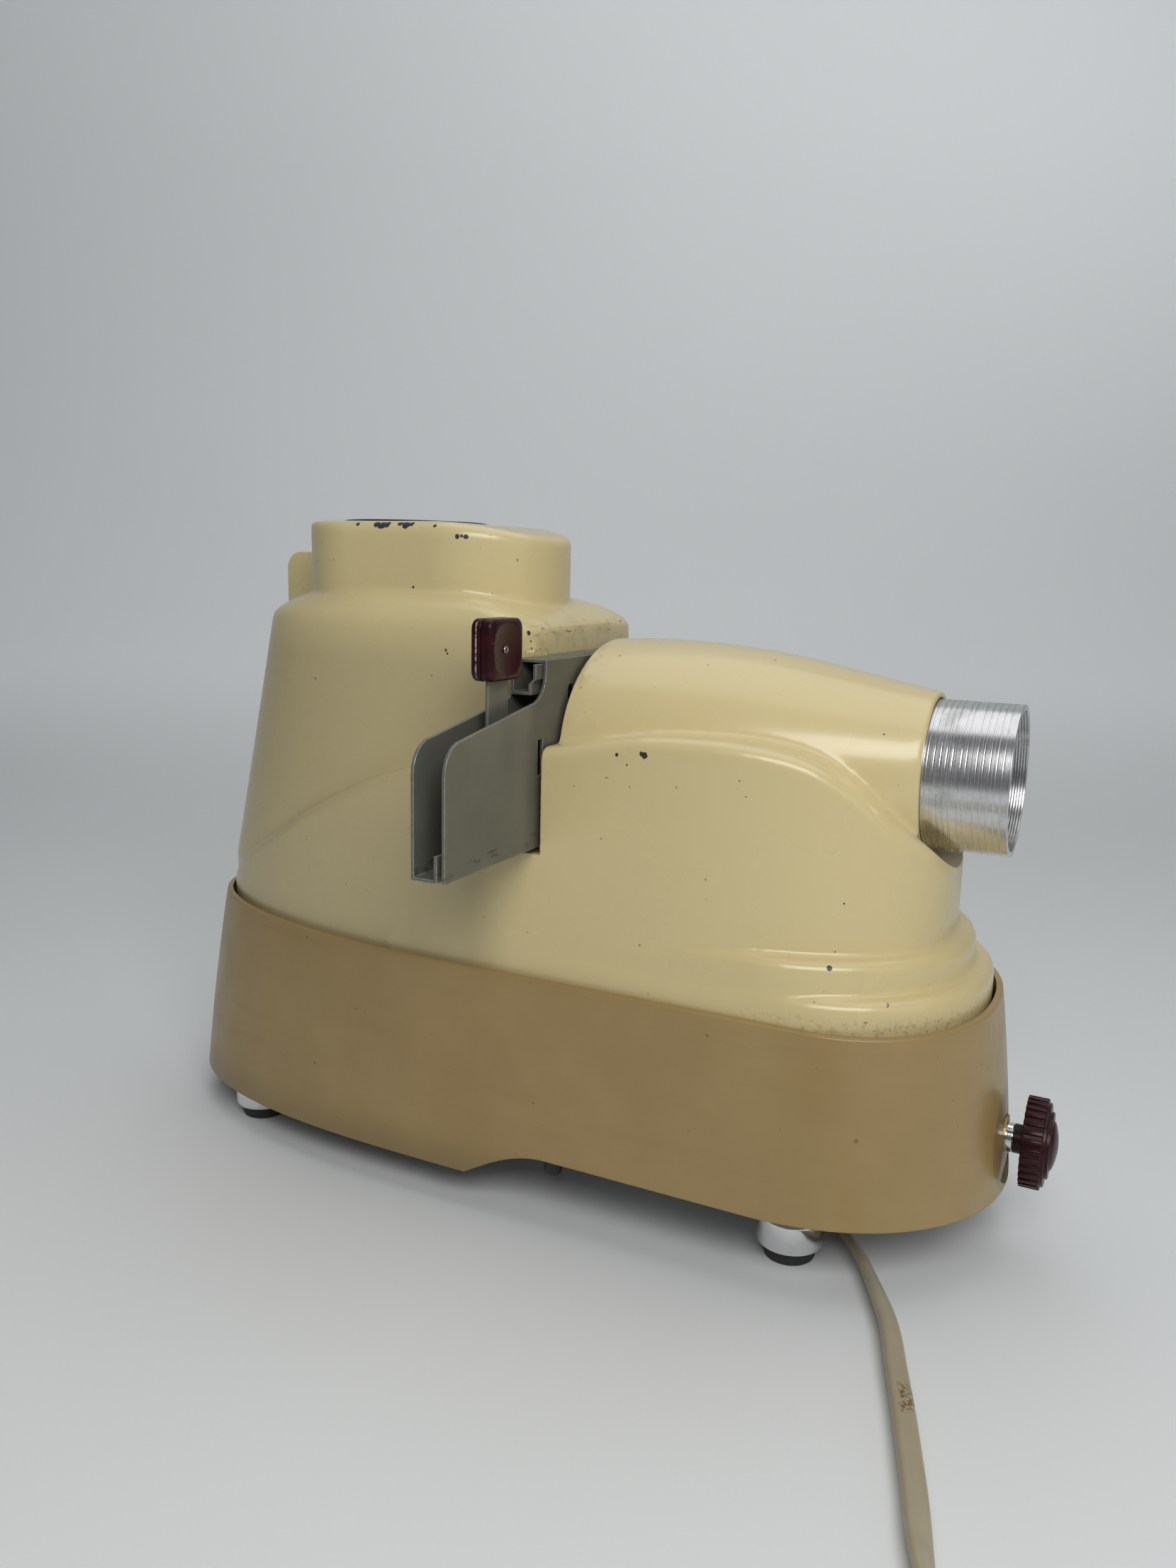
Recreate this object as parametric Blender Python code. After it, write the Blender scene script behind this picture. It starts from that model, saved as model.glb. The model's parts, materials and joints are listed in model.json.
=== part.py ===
"""Slide projector with a die-cast lamphouse, a push-through slide changer and a moulded base.

Metres, +Z up. The lens looks along +X and the changer's loading end points to -Y.
All pieces are laid out from the front end of the lens barrel on the floor plane, and one
root empty then brings the middle of the whole object over the origin.
"""
import math

import bmesh
import bpy
from mathutils import Matrix, Vector

# shared clearances
seat_gap = 0.0003
overrun = 0.002
merge_distance = 0.00001

# optical axis and slide gate
axis_height = 0.168
gate_back = 0.1544
slot_width = 0.0145
slot_depth_below_axis = 0.0315
slot_seat_half_width = 0.0520

# moulded base skirt
skirt_half_width = 0.0645
skirt_foot_half_width = 0.0670
skirt_rim_rear = 0.3320
skirt_rim_front = 0.0006
skirt_foot_rear = 0.3375
skirt_foot_front = 0.0090
skirt_rim_height = 0.0925
skirt_rear_clear = 0.0145
skirt_front_clear = 0.0270
skirt_wall = 0.0026
skirt_rear_run = 0.150
skirt_front_run = 0.055
skirt_foot_front_run = 0.078
skirt_step_back = 0.1730
skirt_step_run = 0.0330
skirt_lip_round = 0.0009
skirt_rear_power_share = 2.15
skirt_foot_rear_power_share = 2.70
skirt_front_power_share = 2.20
skirt_foot_front_power_share = 2.05
skirt_level_shares = (0.0, 0.12, 0.45, 0.78, 1.0)
skirt_bulge_share = 0.10

# body casting
cast_wall = 0.0032
cast_reveal = 0.0008
cast_foot_below_rim = 0.0090
flange_height_above_rim = 0.0080
tier_height = 0.0100
tier_round = 0.0022
tier_two_front = 0.0093
tier_two_run = 0.134
wall_front = 0.0155
wall_run = 0.130
wall_half_width = 0.0603
wall_power_share = 3.2
tier_power_share = 3.6
band_rear = 0.2300
band_rear_run = 0.0200
band_fade_back = 0.2050
band_fade_run = 0.1000
band_bury_share = 0.032
arch_height_above_rim = 0.0883
arch_round = 0.0050
arch_line_shares = (
    (0.00, 0.10), (0.12, 0.18), (0.235, 0.425), (0.333, 0.64), (0.425, 0.805),
    (0.557, 0.945), (0.665, 0.991), (0.738, 1.0), (0.812, 0.978), (0.848, 0.925),
    (0.880, 0.858), (0.916, 0.776), (0.950, 0.706), (1.00, 0.62),
)

# lamphouse tower
tower_foot_above_rim = 0.0155
tower_root_above_floor = 0.0115
tower_foot_rear = 0.3270
tower_foot_half_width = 0.0585
tower_shoulder_above_axis = 0.0430
tower_shoulder_rear = 0.3030
tower_shoulder_half_width = 0.0482
tower_crown_rise = 0.0146
tower_crown_side_draw = 0.0290
tower_crown_front_draw = 0.0500
tower_crown_rear_draw = 0.0400
tower_front_corner = 0.0140
tower_foot_rear_run = 0.135
tower_shoulder_rear_run = 0.085
tower_rear_power_share = 2.2
tower_front_power_share = 5.0
tower_crown_shares = (
    (0.15, 0.02, 0.036, 0.038), (0.30, 0.07, 0.09, 0.11), (0.55, 0.225, 0.25, 0.325),
    (0.75, 0.415, 0.52, 0.55), (0.90, 0.655, 0.76, 0.75), (1.0, 0.8, 0.85, 0.85),
)

# chimney collar on the tower
collar_rear = 0.2824
collar_front = 0.1728
collar_half_width = 0.0360
collar_rise = 0.0242
collar_front_fall = 0.0048
collar_fall_start = 0.2105
collar_edge_round = 0.0050
collar_round_shares = ((0.0, 0.2), (0.35, 1.0), (0.75, 1.0), (1.0, 0.7))
collar_fillet_spread = 0.0045
collar_fillet_drop = 0.0075
collar_base_fall = 0.0066
collar_fillet_shares = ((1.0, 1.0), (0.55, 0.62), (0.22, 0.34), (0.0, 0.0))
chimney_back = 0.2390
vent_disc_radius = 0.0285
vent_disc_thickness = 0.0020
vent_disc_proud = 0.0007
vent_throat_radius = 0.0250
vent_slot_inner = 0.0070
vent_slot_outer = 0.0220
vent_slot_width = 0.0045
vent_slot_count = 10

# lens nose
nose_rear_side = 0.0475
nose_rear_top = 0.0408
nose_mouth_radius = 0.0278
nose_front_back = 0.0270
nose_bore_radius = 0.0272
nose_lip_radius = 0.0261
nose_lip_length = 0.0030
nose_bore_length = 0.0350
nose_station_shares = (0.0, 0.10, 0.22, 0.38, 0.55, 0.72, 0.87, 0.955, 0.985, 1.0)
nose_side_shares = (1.0, 1.01, 0.985, 0.90, 0.75, 0.52, 0.26, 0.11, 0.05, 0.0)
nose_top_shares = (0.93, 0.98, 1.0, 0.93, 0.77, 0.50, 0.22, 0.07, 0.03, 0.0)
scoop_radius = 0.0285

# lens barrel
barrel_radius = 0.0254
barrel_wall = 0.0019
barrel_length = 0.0860
barrel_groove_depth = 0.00055
barrel_groove_pitch = 0.00205
barrel_groove_share = 0.5
barrel_group_starts = (0.0028, 0.0158)
barrel_groove_count = 5
barrel_thread_depth = 0.0005
barrel_thread_pitch = 0.0012
barrel_thread_count = 6
bush_length = 0.0280
glass_front_back = 0.0180
glass_thickness = 0.0060
glass_bulge = 0.0030
glass_rear_back = 0.0620
retainer_length = 0.0030
retainer_wall = 0.0022
lens_travel_in = 0.0180
lens_travel_out = 0.0200

# slide changer
sheet = 0.0010
changer_outer_width = 0.0122
changer_near_end = 0.1180
changer_far_end = 0.0827
changer_bottom_below_axis = 0.0290
changer_low_above_axis = 0.0140
changer_ramp_above_axis = 0.0208
changer_high_above_axis = 0.0350
changer_corner_radius = 0.0100
changer_rise_start = 0.0655
changer_rise_end = 0.0555
changer_rise_height = 0.0100
changer_lip_height = 0.0085
changer_lip_lane = 0.0019
gate_cut_half_width = 0.0400
gate_cut_half_height = 0.0245
gate_cut_round = 0.0080
back_cut_half_width = 0.0200
cheek_notch_width = 0.0036
cheek_notch_height = 0.0125
cheek_notch_above_axis = 0.0022
cheek_notch_reach = 0.0608
guide_height = 0.0104
guide_step = 0.0018
guide_half_length = 0.0605
web_slot_start = 0.0193
web_slot_length = 0.0130
web_slot_width = 0.0022

# slide pusher
pusher_reach = 0.0780
pusher_arm_width = 0.0125
pusher_foot_length = 0.0300
pusher_foot_height = 0.0180
pusher_knob_width = 0.0208
pusher_knob_height = 0.0200
pusher_knob_depth = 0.0086
pusher_knob_bottom_above_axis = 0.0296
pusher_knob_round = 0.0030
pusher_knob_arm_share = 0.8
pusher_dimple_radius = 0.0084
pusher_dimple_depth = 0.0011
pusher_rivet_radius = 0.0013
pusher_rivet_head = 0.0006
pusher_travel_in = 0.0050
pusher_travel_out = 0.0330

# inner optics
deck_thickness = 0.0016
condenser_radius = 0.0230
condenser_thickness = 0.0110
condenser_edge = 0.0030
condenser_pillar_depth = 0.0380
heat_glass_thickness = 0.0030
lamp_back_of_gate = 0.0850
lamp_radius = 0.0160
lamp_height = 0.0780
lamp_base_radius = 0.0125
lamp_base_height = 0.0220
socket_radius = 0.0180
socket_height = 0.0260
reflector_radius = 0.0250
reflector_depth = 0.0080
reflector_wall = 0.0010
reflector_gap = 0.0120
reflector_post_width = 0.0100

# fan and motor under the lamp
plate_height = 0.0290
plate_thickness = 0.0015
fan_radius = 0.0330
fan_height = 0.0160
fan_hub_radius = 0.0060
fan_blade_count = 6
fan_blade_thickness = 0.0012
fan_blade_lean_share = 0.5
motor_radius = 0.0240
fan_motor_clear = 0.0038
motor_shaft_radius = 0.0024
intake_slot_width = 0.0050
intake_slot_length = 0.0460
intake_slot_count = 5
intake_slot_pitch = 0.0100

# feet and the elevating gear
foot_radius = 0.0117
foot_neck_radius = 0.0070
foot_shoulder = 0.0020
foot_cup_height = 0.0175
pad_radius = 0.0090
pad_height = 0.0042
rear_foot_back = 0.2905
rear_foot_side = 0.0408
front_foot_back = 0.0580
front_foot_side = 0.0370
leg_bar_width = 0.0160
leg_bar_thickness = 0.0030
leg_travel = 0.0100
knob_axis_height = 0.0432
knob_rear = 0.0123
knob_rim_thickness = 0.0067
knob_radius = 0.0155
knob_flute_count = 30
knob_flute_depth = 0.0008
knob_step_one_radius = 0.0142
knob_step_two_radius = 0.0114
knob_step_length = 0.0011
knob_dome_radius = 0.0087
knob_dome_height = 0.0022
knob_rim_shares = ((0.0, 0.5), (0.12, 0.0), (0.88, 0.0), (1.0, 0.5))
knob_shaft_radius = 0.0050
spot_face_radius = 0.0158
spot_face_back = 0.0066
spot_boss_length = 0.0070
bush_wall = 0.0025
leg_block_width = 0.0180
leg_block_height = 0.0300
leg_rack_depth = 0.0055
pinion_radius = 0.0062
leg_rack_side = pinion_radius + seat_gap * 2

# switch
switch_back = 0.1435
switch_side = 0.0480
switch_body_length = 0.0200
switch_body_width = 0.0140
switch_body_height = 0.0180
switch_neck_radius = 0.0058
switch_nut_height = 0.0020
switch_lever_top_radius = 0.0024
switch_lever_tip_radius = 0.0034
switch_lever_length = 0.0125
switch_lever_lean_share = 0.16

# rear fin
fin_back = 0.2845
fin_length = 0.0275
fin_above_crown = 0.0124
fin_knee_drop = 0.0220
fin_foot_share = 0.72
fin_thickness = 0.0025
fin_side = 0.0080
fin_round = 0.0075

# cord, strain relief and plug
cord_width = 0.0071
cord_floor_gap = 0.0004
relief_back = 0.0800
relief_side = 0.0205
relief_height = 0.0150
relief_turn_share = -0.765
relief_block_length = 0.0090
relief_taper_length = 0.0240
relief_block_width = 0.0160
relief_root_width = 0.0130
relief_tip_width = 0.0094
relief_drop = 0.0080
relief_round = 0.0015
route_reach = 0.1000
route_rise = 0.0111
cord_route_shares = (
    (-0.670, 0.080, 0.42), (-0.580, -0.010, 0.10), (-0.500, -0.105, 0.0), (-0.430, -0.204, 0.0),
    (-0.396, -0.251, 0.0), (-0.330, -0.353, 0.0), (-0.248, -0.504, 0.0), (-0.168, -0.673, 0.0),
    (-0.104, -0.871, 0.0), (-0.050, -1.038, 0.0), (-0.003, -1.191, 0.0), (0.039, -1.331, 0.0),
    (0.074, -1.459, 0.0), (0.102, -1.550, 0.0), (0.134, -1.661, 0.0), (0.177, -1.840, 0.0),
    (0.214, -2.030, 0.0), (0.240, -2.210, 0.0), (0.259, -2.390, 0.0),
)
cord_point_step = 0.0055
coil_entry_front = 0.0270
coil_entry_side = 0.2580
coil_entry_turn_share = 0.10
coil_mean_radius = 0.0426
coil_loops_per_layer = 3
coil_exit_loop_share = 0.75
coil_points_per_loop = 24
coil_pitch = 0.0078
coil_layer_rise = 0.0077
coil_dip_share = 0.20
coil_tail_run = 0.0900
plug_length = 0.0300
plug_width = 0.0240
plug_height = 0.0150
plug_nose_share = 0.72
plug_round = 0.0025
blade_length = 0.0170
blade_width = 0.0062
blade_thickness = 0.0015
blade_spacing = 0.0127

ring_steps = 8

# scene and materials


def clear_scene():
    for item in list(bpy.data.objects):
        bpy.data.objects.remove(item, do_unlink=True)


def make_material(name, colour, roughness, metallic, transmission=0.0):
    material = bpy.data.materials.new(name)
    material.use_nodes = True
    shader = material.node_tree.nodes["Principled BSDF"]
    shader.inputs["Base Color"].default_value = (*colour, 1.0)
    shader.inputs["Roughness"].default_value = roughness
    shader.inputs["Metallic"].default_value = metallic
    shader.inputs["Transmission Weight"].default_value = transmission
    material.diffuse_color = (*colour, 1.0)
    return material


clear_scene()
CREAM = make_material("cream_enamel", (0.66, 0.58, 0.36), 0.32, 0.0)
TAN = make_material("tan_plastic", (0.36, 0.27, 0.13), 0.38, 0.0)
GREY = make_material("grey_enamel", (0.19, 0.20, 0.18), 0.45, 0.3)
MAROON = make_material("maroon_plastic", (0.09, 0.012, 0.018), 0.30, 0.0)
BLACK = make_material("black_paint", (0.015, 0.015, 0.017), 0.5, 0.0)
ALUMINIUM = make_material("bare_aluminium", (0.72, 0.73, 0.74), 0.28, 1.0)
CHROME = make_material("chrome_plate", (0.80, 0.81, 0.82), 0.08, 1.0)
STEEL = make_material("zinc_steel", (0.55, 0.55, 0.54), 0.35, 1.0)
RUBBER = make_material("black_rubber", (0.02, 0.02, 0.02), 0.7, 0.0)
BRASS = make_material("brass", (0.60, 0.45, 0.20), 0.3, 1.0)
FELT = make_material("black_felt", (0.02, 0.02, 0.02), 0.95, 0.0)
GLASS = make_material("clear_glass", (0.95, 0.97, 0.97), 0.02, 0.0, 1.0)
CREAM_CORD = make_material("cream_vinyl", (0.60, 0.53, 0.38), 0.45, 0.0)

# mesh helpers


def new_object(name, mesh, material, parent):
    item = bpy.data.objects.new(name, mesh)
    bpy.context.scene.collection.objects.link(item)
    if material is not None:
        mesh.materials.append(material)
    item.parent = parent
    return item


def mesh_from(name, build):
    """Run a bmesh builder and return its mesh with faces pointing out."""
    shape = bmesh.new()
    build(shape)
    bmesh.ops.remove_doubles(shape, verts=shape.verts[:], dist=merge_distance)
    bmesh.ops.recalc_face_normals(shape, faces=shape.faces[:])
    mesh = bpy.data.meshes.new(name)
    shape.to_mesh(mesh)
    shape.free()
    return mesh


def skin_rings(shape, rings, ladder_ends=(False, False), closed=False):
    """Join closed rings of equal count by quads and close both ends."""
    rows = [[shape.verts.new(point) for point in ring] for ring in rings]
    pairs = list(zip(rows, rows[1:]))
    if closed:
        pairs.append((rows[-1], rows[0]))
    for low, high in pairs:
        count = len(low)
        for index in range(count):
            after = (index + 1) % count
            shape.faces.new((low[index], low[after], high[after], high[index]))
    if closed:
        return
    for row, ladder in ((rows[0], ladder_ends[0]), (rows[-1], ladder_ends[1])):
        if not ladder:
            shape.faces.new(row)
            continue
        count = len(row)
        for index in range(count // 2):
            left, right = row[index], row[index + 1]
            far_left, far_right = row[-index % count], row[count - index - 1]
            corners = [left, right]
            for vert in (far_right, far_left):
                if vert not in corners:
                    corners.append(vert)
            if len(corners) > 2:
                shape.faces.new(corners)


def lofted(name, rings, material, parent, ladder_ends=(False, False)):
    mesh = mesh_from(name, lambda shape: skin_rings(shape, rings, ladder_ends))
    return new_object(name, mesh, material, parent)


def turned(name, profile, segments, axis, centre, material, parent):
    """Turn a closed (along, radius) outline about an axis through centre; radius 0 closes a tip."""
    basis = {
        "X": (Vector((1, 0, 0)), Vector((0, 1, 0)), Vector((0, 0, 1))),
        "Y": (Vector((0, 1, 0)), Vector((0, 0, 1)), Vector((1, 0, 0))),
        "Z": (Vector((0, 0, 1)), Vector((1, 0, 0)), Vector((0, 1, 0))),
    }[axis]
    along_axis, side, up = basis

    def build(shape):
        rows = []
        for along, radius in profile:
            if radius == 0:
                rows.append([shape.verts.new(along_axis * along)] * segments)
                continue
            row = []
            for step in range(segments):
                angle = math.tau * (step + 0.5) / segments
                offset = side * (radius * math.cos(angle)) + up * (radius * math.sin(angle))
                row.append(shape.verts.new(along_axis * along + offset))
            rows.append(row)
        solid = profile[0][1] == 0 and profile[-1][1] == 0
        pairs = list(zip(rows, rows[1:]))
        if not solid:
            pairs.append((rows[-1], rows[0]))
        for low, high in pairs:
            for step in range(segments):
                after = (step + 1) % segments
                corners = []
                for vert in (low[step], low[after], high[after], high[step]):
                    if vert not in corners:
                        corners.append(vert)
                if len(corners) > 2:
                    shape.faces.new(corners)

    item = new_object(name, mesh_from(name, build), material, parent)
    item.location = centre
    smooth(item)
    return item


def extruded(name, outline, plane, start, thickness, material, parent):
    """A flat outline given in two coordinates, pushed along the third."""
    places = {"X": lambda a, b, c: (c, a, b),
              "Y": lambda a, b, c: (a, c, b),
              "Z": lambda a, b, c: (a, b, c)}[plane]
    rings = [[places(a, b, level) for a, b in outline] for level in (start, start + thickness)]
    return lofted(name, rings, material, parent)


def block(name, low, high, material, parent):
    outline = ((low[0], low[1]), (high[0], low[1]), (high[0], high[1]), (low[0], high[1]))
    return extruded(name, outline, "Z", low[2], high[2] - low[2], material, parent)


def rounded_outline(low_a, low_b, high_a, high_b, radius, steps):
    corners = (
        (high_a - radius, high_b - radius, 0.0), (low_a + radius, high_b - radius, 90.0),
        (low_a + radius, low_b + radius, 180.0), (high_a - radius, low_b + radius, 270.0),
    )
    points = []
    for centre_a, centre_b, first in corners:
        for step in range(steps + 1):
            angle = math.radians(first + 90.0 * step / steps)
            points.append((centre_a + radius * math.cos(angle), centre_b + radius * math.sin(angle)))
    return points


def smooth(item, degrees=35.0):
    item.data.shade_smooth()
    item.data.set_sharp_from_angle(angle=math.radians(degrees))


def settle(item):
    """Evaluate an object's modifiers into its own mesh."""
    graph = bpy.context.evaluated_depsgraph_get()
    graph.update()
    mesh = bpy.data.meshes.new_from_object(item.evaluated_get(graph))
    old = item.data
    item.modifiers.clear()
    item.data = mesh
    bpy.data.meshes.remove(old)


def combine(item, tool, operation):
    """Union with or cut by another object, which is used up."""
    modifier = item.modifiers.new("combine", "BOOLEAN")
    modifier.operation = operation
    modifier.solver = "EXACT"
    modifier.object = tool
    settle(item)
    bpy.data.objects.remove(tool, do_unlink=True)


def cut(item, tool):
    combine(item, tool, "DIFFERENCE")


def fuse(item, tool):
    combine(item, tool, "UNION")


def drill(item, axis, centre, radius, start, length, segments=24):
    """A straight round hole through an object of the same parent."""
    tool = turned("drill", ((start, 0), (start, radius), (start + length, radius), (start + length, 0)),
                  segments, axis, centre, None, item.parent)
    bpy.context.view_layer.update()
    cut(item, tool)


# plan outlines


def quarter_shares(power, steps):
    """Shares (along, across) of a superellipse quarter, tip first."""
    shares = []
    for step in range(steps + 1):
        angle = 0.5 * math.pi * step / steps
        shares.append((math.cos(angle) ** (2.0 / power), math.sin(angle) ** (2.0 / power)))
    shares[0] = (1.0, 0.0)
    shares[-1] = (0.0, 1.0)
    return shares


def boat_outline(rear, rear_run, rear_power, front, front_run, front_power, half, steps=ring_steps):
    """Closed plan ring from the front tip round +Y to the rear tip and back along -Y."""
    side = [(front - front_run * (1.0 - a), half * b) for a, b in quarter_shares(front_power, steps)]
    tail = [(rear + rear_run * (1.0 - a), half * b) for a, b in quarter_shares(rear_power, steps)]
    side += list(reversed(tail))
    back = [(x, -y) for x, y in reversed(side[1:-1])]
    return side + back


def blend(low, high, share):
    return low + (high - low) * share


def smooth_share(share):
    share = min(max(share, 0.0), 1.0)
    return share * share * (3.0 - 2.0 * share)


def table_share(table, share):
    """Read a table of (place, value) shares with rounded joins between its rows."""
    places = [row[0] for row in table]
    values = [row[1] for row in table]
    if share <= places[0]:
        return values[0]
    if share >= places[-1]:
        return values[-1]
    index = max(i for i, place in enumerate(places[:-1]) if place <= share)

    def slope(i):
        if i <= 0 or i >= len(places) - 1:
            near = 0 if i <= 0 else len(places) - 2
            return (values[near + 1] - values[near]) / (places[near + 1] - places[near])
        return (values[i + 1] - values[i - 1]) / (places[i + 1] - places[i - 1])

    width = places[index + 1] - places[index]
    t = (share - places[index]) / width
    a, b = values[index], values[index + 1]
    m, n = slope(index) * width, slope(index + 1) * width
    return ((2 * t ** 3 - 3 * t ** 2 + 1) * a + (t ** 3 - 2 * t ** 2 + t) * m
            + (-2 * t ** 3 + 3 * t ** 2) * b + (t ** 3 - t ** 2) * n)


root = bpy.data.objects.new("projector_root", None)
bpy.context.scene.collection.objects.link(root)
object_front = knob_rear + knob_rim_thickness + knob_step_length * 2 + knob_dome_height
root.location = (
    -0.5 * (object_front - skirt_foot_rear),
    -0.5 * (changer_far_end - changer_near_end),
    0.0,
)

# base skirt


def skirt_ring(share, inset, height=None):
    """Skirt outline at a share of the way from the rim (0) down to the foot (1)."""
    bulge = skirt_bulge_share * math.sin(math.pi * share)
    lean = share + bulge
    outline = boat_outline(
        -blend(skirt_rim_rear, skirt_foot_rear, lean) + inset,
        skirt_rear_run - inset,
        blend(skirt_rear_power_share, skirt_foot_rear_power_share, share),
        blend(skirt_rim_front, skirt_foot_front, lean) - inset,
        blend(skirt_front_run, skirt_foot_front_run, share) - inset,
        blend(skirt_front_power_share, skirt_foot_front_power_share, share),
        blend(skirt_half_width, skirt_foot_half_width, lean) - inset,
        ring_steps + 2,
    )
    level = blend(skirt_rim_height, skirt_rear_clear, share) if height is None else height
    return [(x, y, level) for x, y in outline]


def make_skirt():
    rings = [skirt_ring(share, 0.0) for share in reversed(skirt_level_shares[1:])]
    rings.append(skirt_ring(0.0, 0.0, skirt_rim_height - skirt_lip_round))
    rings.append(skirt_ring(0.0, skirt_lip_round, skirt_rim_height))
    skirt = lofted("base_skirt", rings, TAN, root)
    top_depth = skirt_rim_height - skirt_rear_clear
    boss = turned("boss", (
        (-spot_boss_length - spot_face_back, 0), (-spot_boss_length - spot_face_back, spot_face_radius),
        (skirt_foot_front, spot_face_radius), (skirt_foot_front, 0)), 28, "X",
        (spot_face_back, 0, knob_axis_height), None, root)
    core_rings = [skirt_ring(share, skirt_wall * 0.5) for share in reversed(skirt_level_shares)]
    outer_again = lofted("outer_again", core_rings, None, root)
    bpy.context.view_layer.update()
    modifier = boss.modifiers.new("inside", "BOOLEAN")
    modifier.operation = "INTERSECT"
    modifier.solver = "EXACT"
    modifier.object = outer_again
    settle(boss)
    bpy.data.objects.remove(outer_again, do_unlink=True)
    hollow_rings = [skirt_ring(share, skirt_wall) for share in reversed(skirt_level_shares)]
    hollow_rings[0] = [(x, y, z - overrun) for x, y, z in hollow_rings[0]]
    hollow_rings[-1] = [(x, y, z + overrun) for x, y, z in hollow_rings[-1]]
    hollow = lofted("hollow", hollow_rings, None, root)
    bpy.context.view_layer.update()
    cut(skirt, hollow)
    fuse(skirt, boss)
    face = turned("face", (
        (0, 0), (0, spot_face_radius), (skirt_foot_front + overrun, spot_face_radius),
        (skirt_foot_front + overrun, 0)), 36, "X", (spot_face_back, 0, knob_axis_height), None, root)
    bpy.context.view_layer.update()
    cut(skirt, face)
    hole = knob_shaft_radius + bush_wall + seat_gap
    drill(skirt, "X", (0, 0, knob_axis_height), hole,
          -spot_boss_length - overrun * 6, spot_boss_length * 3 + overrun * 6, 24)
    step_cut(skirt, top_depth)
    smooth(skirt, 30.0)
    return skirt


def step_cut(skirt, depth):
    """Cut away the lower edge in front of the finger arch, in side view."""
    rise = skirt_front_clear - skirt_rear_clear
    points = [(-skirt_step_back, skirt_rear_clear - overrun), (-skirt_step_back, skirt_rear_clear)]
    steps = 8
    for step in range(1, steps + 1):
        share = step / steps
        points.append((-skirt_step_back + skirt_step_run * share,
                       skirt_rear_clear + rise * math.sin(0.5 * math.pi * share)))
    points.append((skirt_foot_front + overrun, skirt_front_clear))
    points.append((skirt_foot_front + overrun, skirt_rear_clear - overrun))
    wide = skirt_foot_half_width + overrun * 2
    tool = extruded("step", points, "Y", -wide, wide * 2, None, root)
    bpy.context.view_layer.update()
    cut(skirt, tool)


make_skirt()

# body casting

rim_inner = skirt_wall + cast_reveal
cast_rear = -skirt_rim_rear + rim_inner
cast_front = skirt_rim_front - rim_inner
cast_length = cast_front - cast_rear
cast_half_width = skirt_half_width - rim_inner
cast_floor = skirt_rim_height - cast_foot_below_rim
tower_foot_height = skirt_rim_height + tower_foot_above_rim
tower_root_height = cast_floor + tower_root_above_floor
flange_top = skirt_rim_height + flange_height_above_rim
tier_top = flange_top + tier_height
slot_rear = -gate_back - slot_width * 0.5
slot_front = slot_rear + slot_width
slot_floor = axis_height - slot_depth_below_axis
tower_shoulder_height = axis_height + tower_shoulder_above_axis
tower_crown_height = tower_shoulder_height + tower_crown_rise
collar_top = tower_crown_height + collar_rise
fin_top = tower_crown_height + fin_above_crown


def arch_height(x):
    share = (x - cast_rear) / cast_length
    return skirt_rim_height + arch_height_above_rim * table_share(arch_line_shares, share)


def band(name, front, run, power, half, top):
    """One flat-topped band round the front of the casting; it sinks into the wall beside the slot."""
    def ring(inset, level):
        outline = boat_outline(-band_rear, band_rear_run, skirt_rear_power_share, front - inset,
                               run - inset, power, half - inset, ring_steps + 4)
        points = []
        for x, y in outline:
            share = min(1.0, max(0.0, (x + band_fade_back) / band_fade_run))
            points.append((x, y * (1.0 - band_bury_share * (1.0 - smooth_share(share))), level))
        return points
    rings = [ring(0.0, cast_floor), ring(0.0, top - tier_round)]
    for step in (1, 2, 3):
        angle = math.radians(30.0 * step)
        rings.append(ring(tier_round * (1.0 - math.cos(angle)), top - tier_round * (1.0 - math.sin(angle))))
    return lofted(name, rings, CREAM, root)


def arch_body(name, inset_wall):
    """The wide lower body, whose rounded top follows the arched line."""
    def ring(inset, drop, fixed=None):
        outline = boat_outline(cast_rear + inset_wall + inset, skirt_rear_run - inset_wall - inset,
                               skirt_rear_power_share, -wall_front - inset_wall - inset,
                               wall_run - inset_wall - inset, wall_power_share,
                               wall_half_width - inset_wall - inset, ring_steps + 4)
        return [(x, y, fixed if fixed is not None else arch_height(x) - inset_wall - drop)
                for x, y in outline]
    low = cast_floor - (overrun if inset_wall else 0.0)
    rings = [ring(0.0, 0.0, low), ring(0.0, arch_round)]
    for step in (1, 2, 3):
        angle = math.radians(30.0 * step)
        rings.append(ring(arch_round * (1.0 - math.cos(angle)), arch_round * (1.0 - math.sin(angle))))
    return lofted(name, rings, CREAM, root, (False, True))


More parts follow.
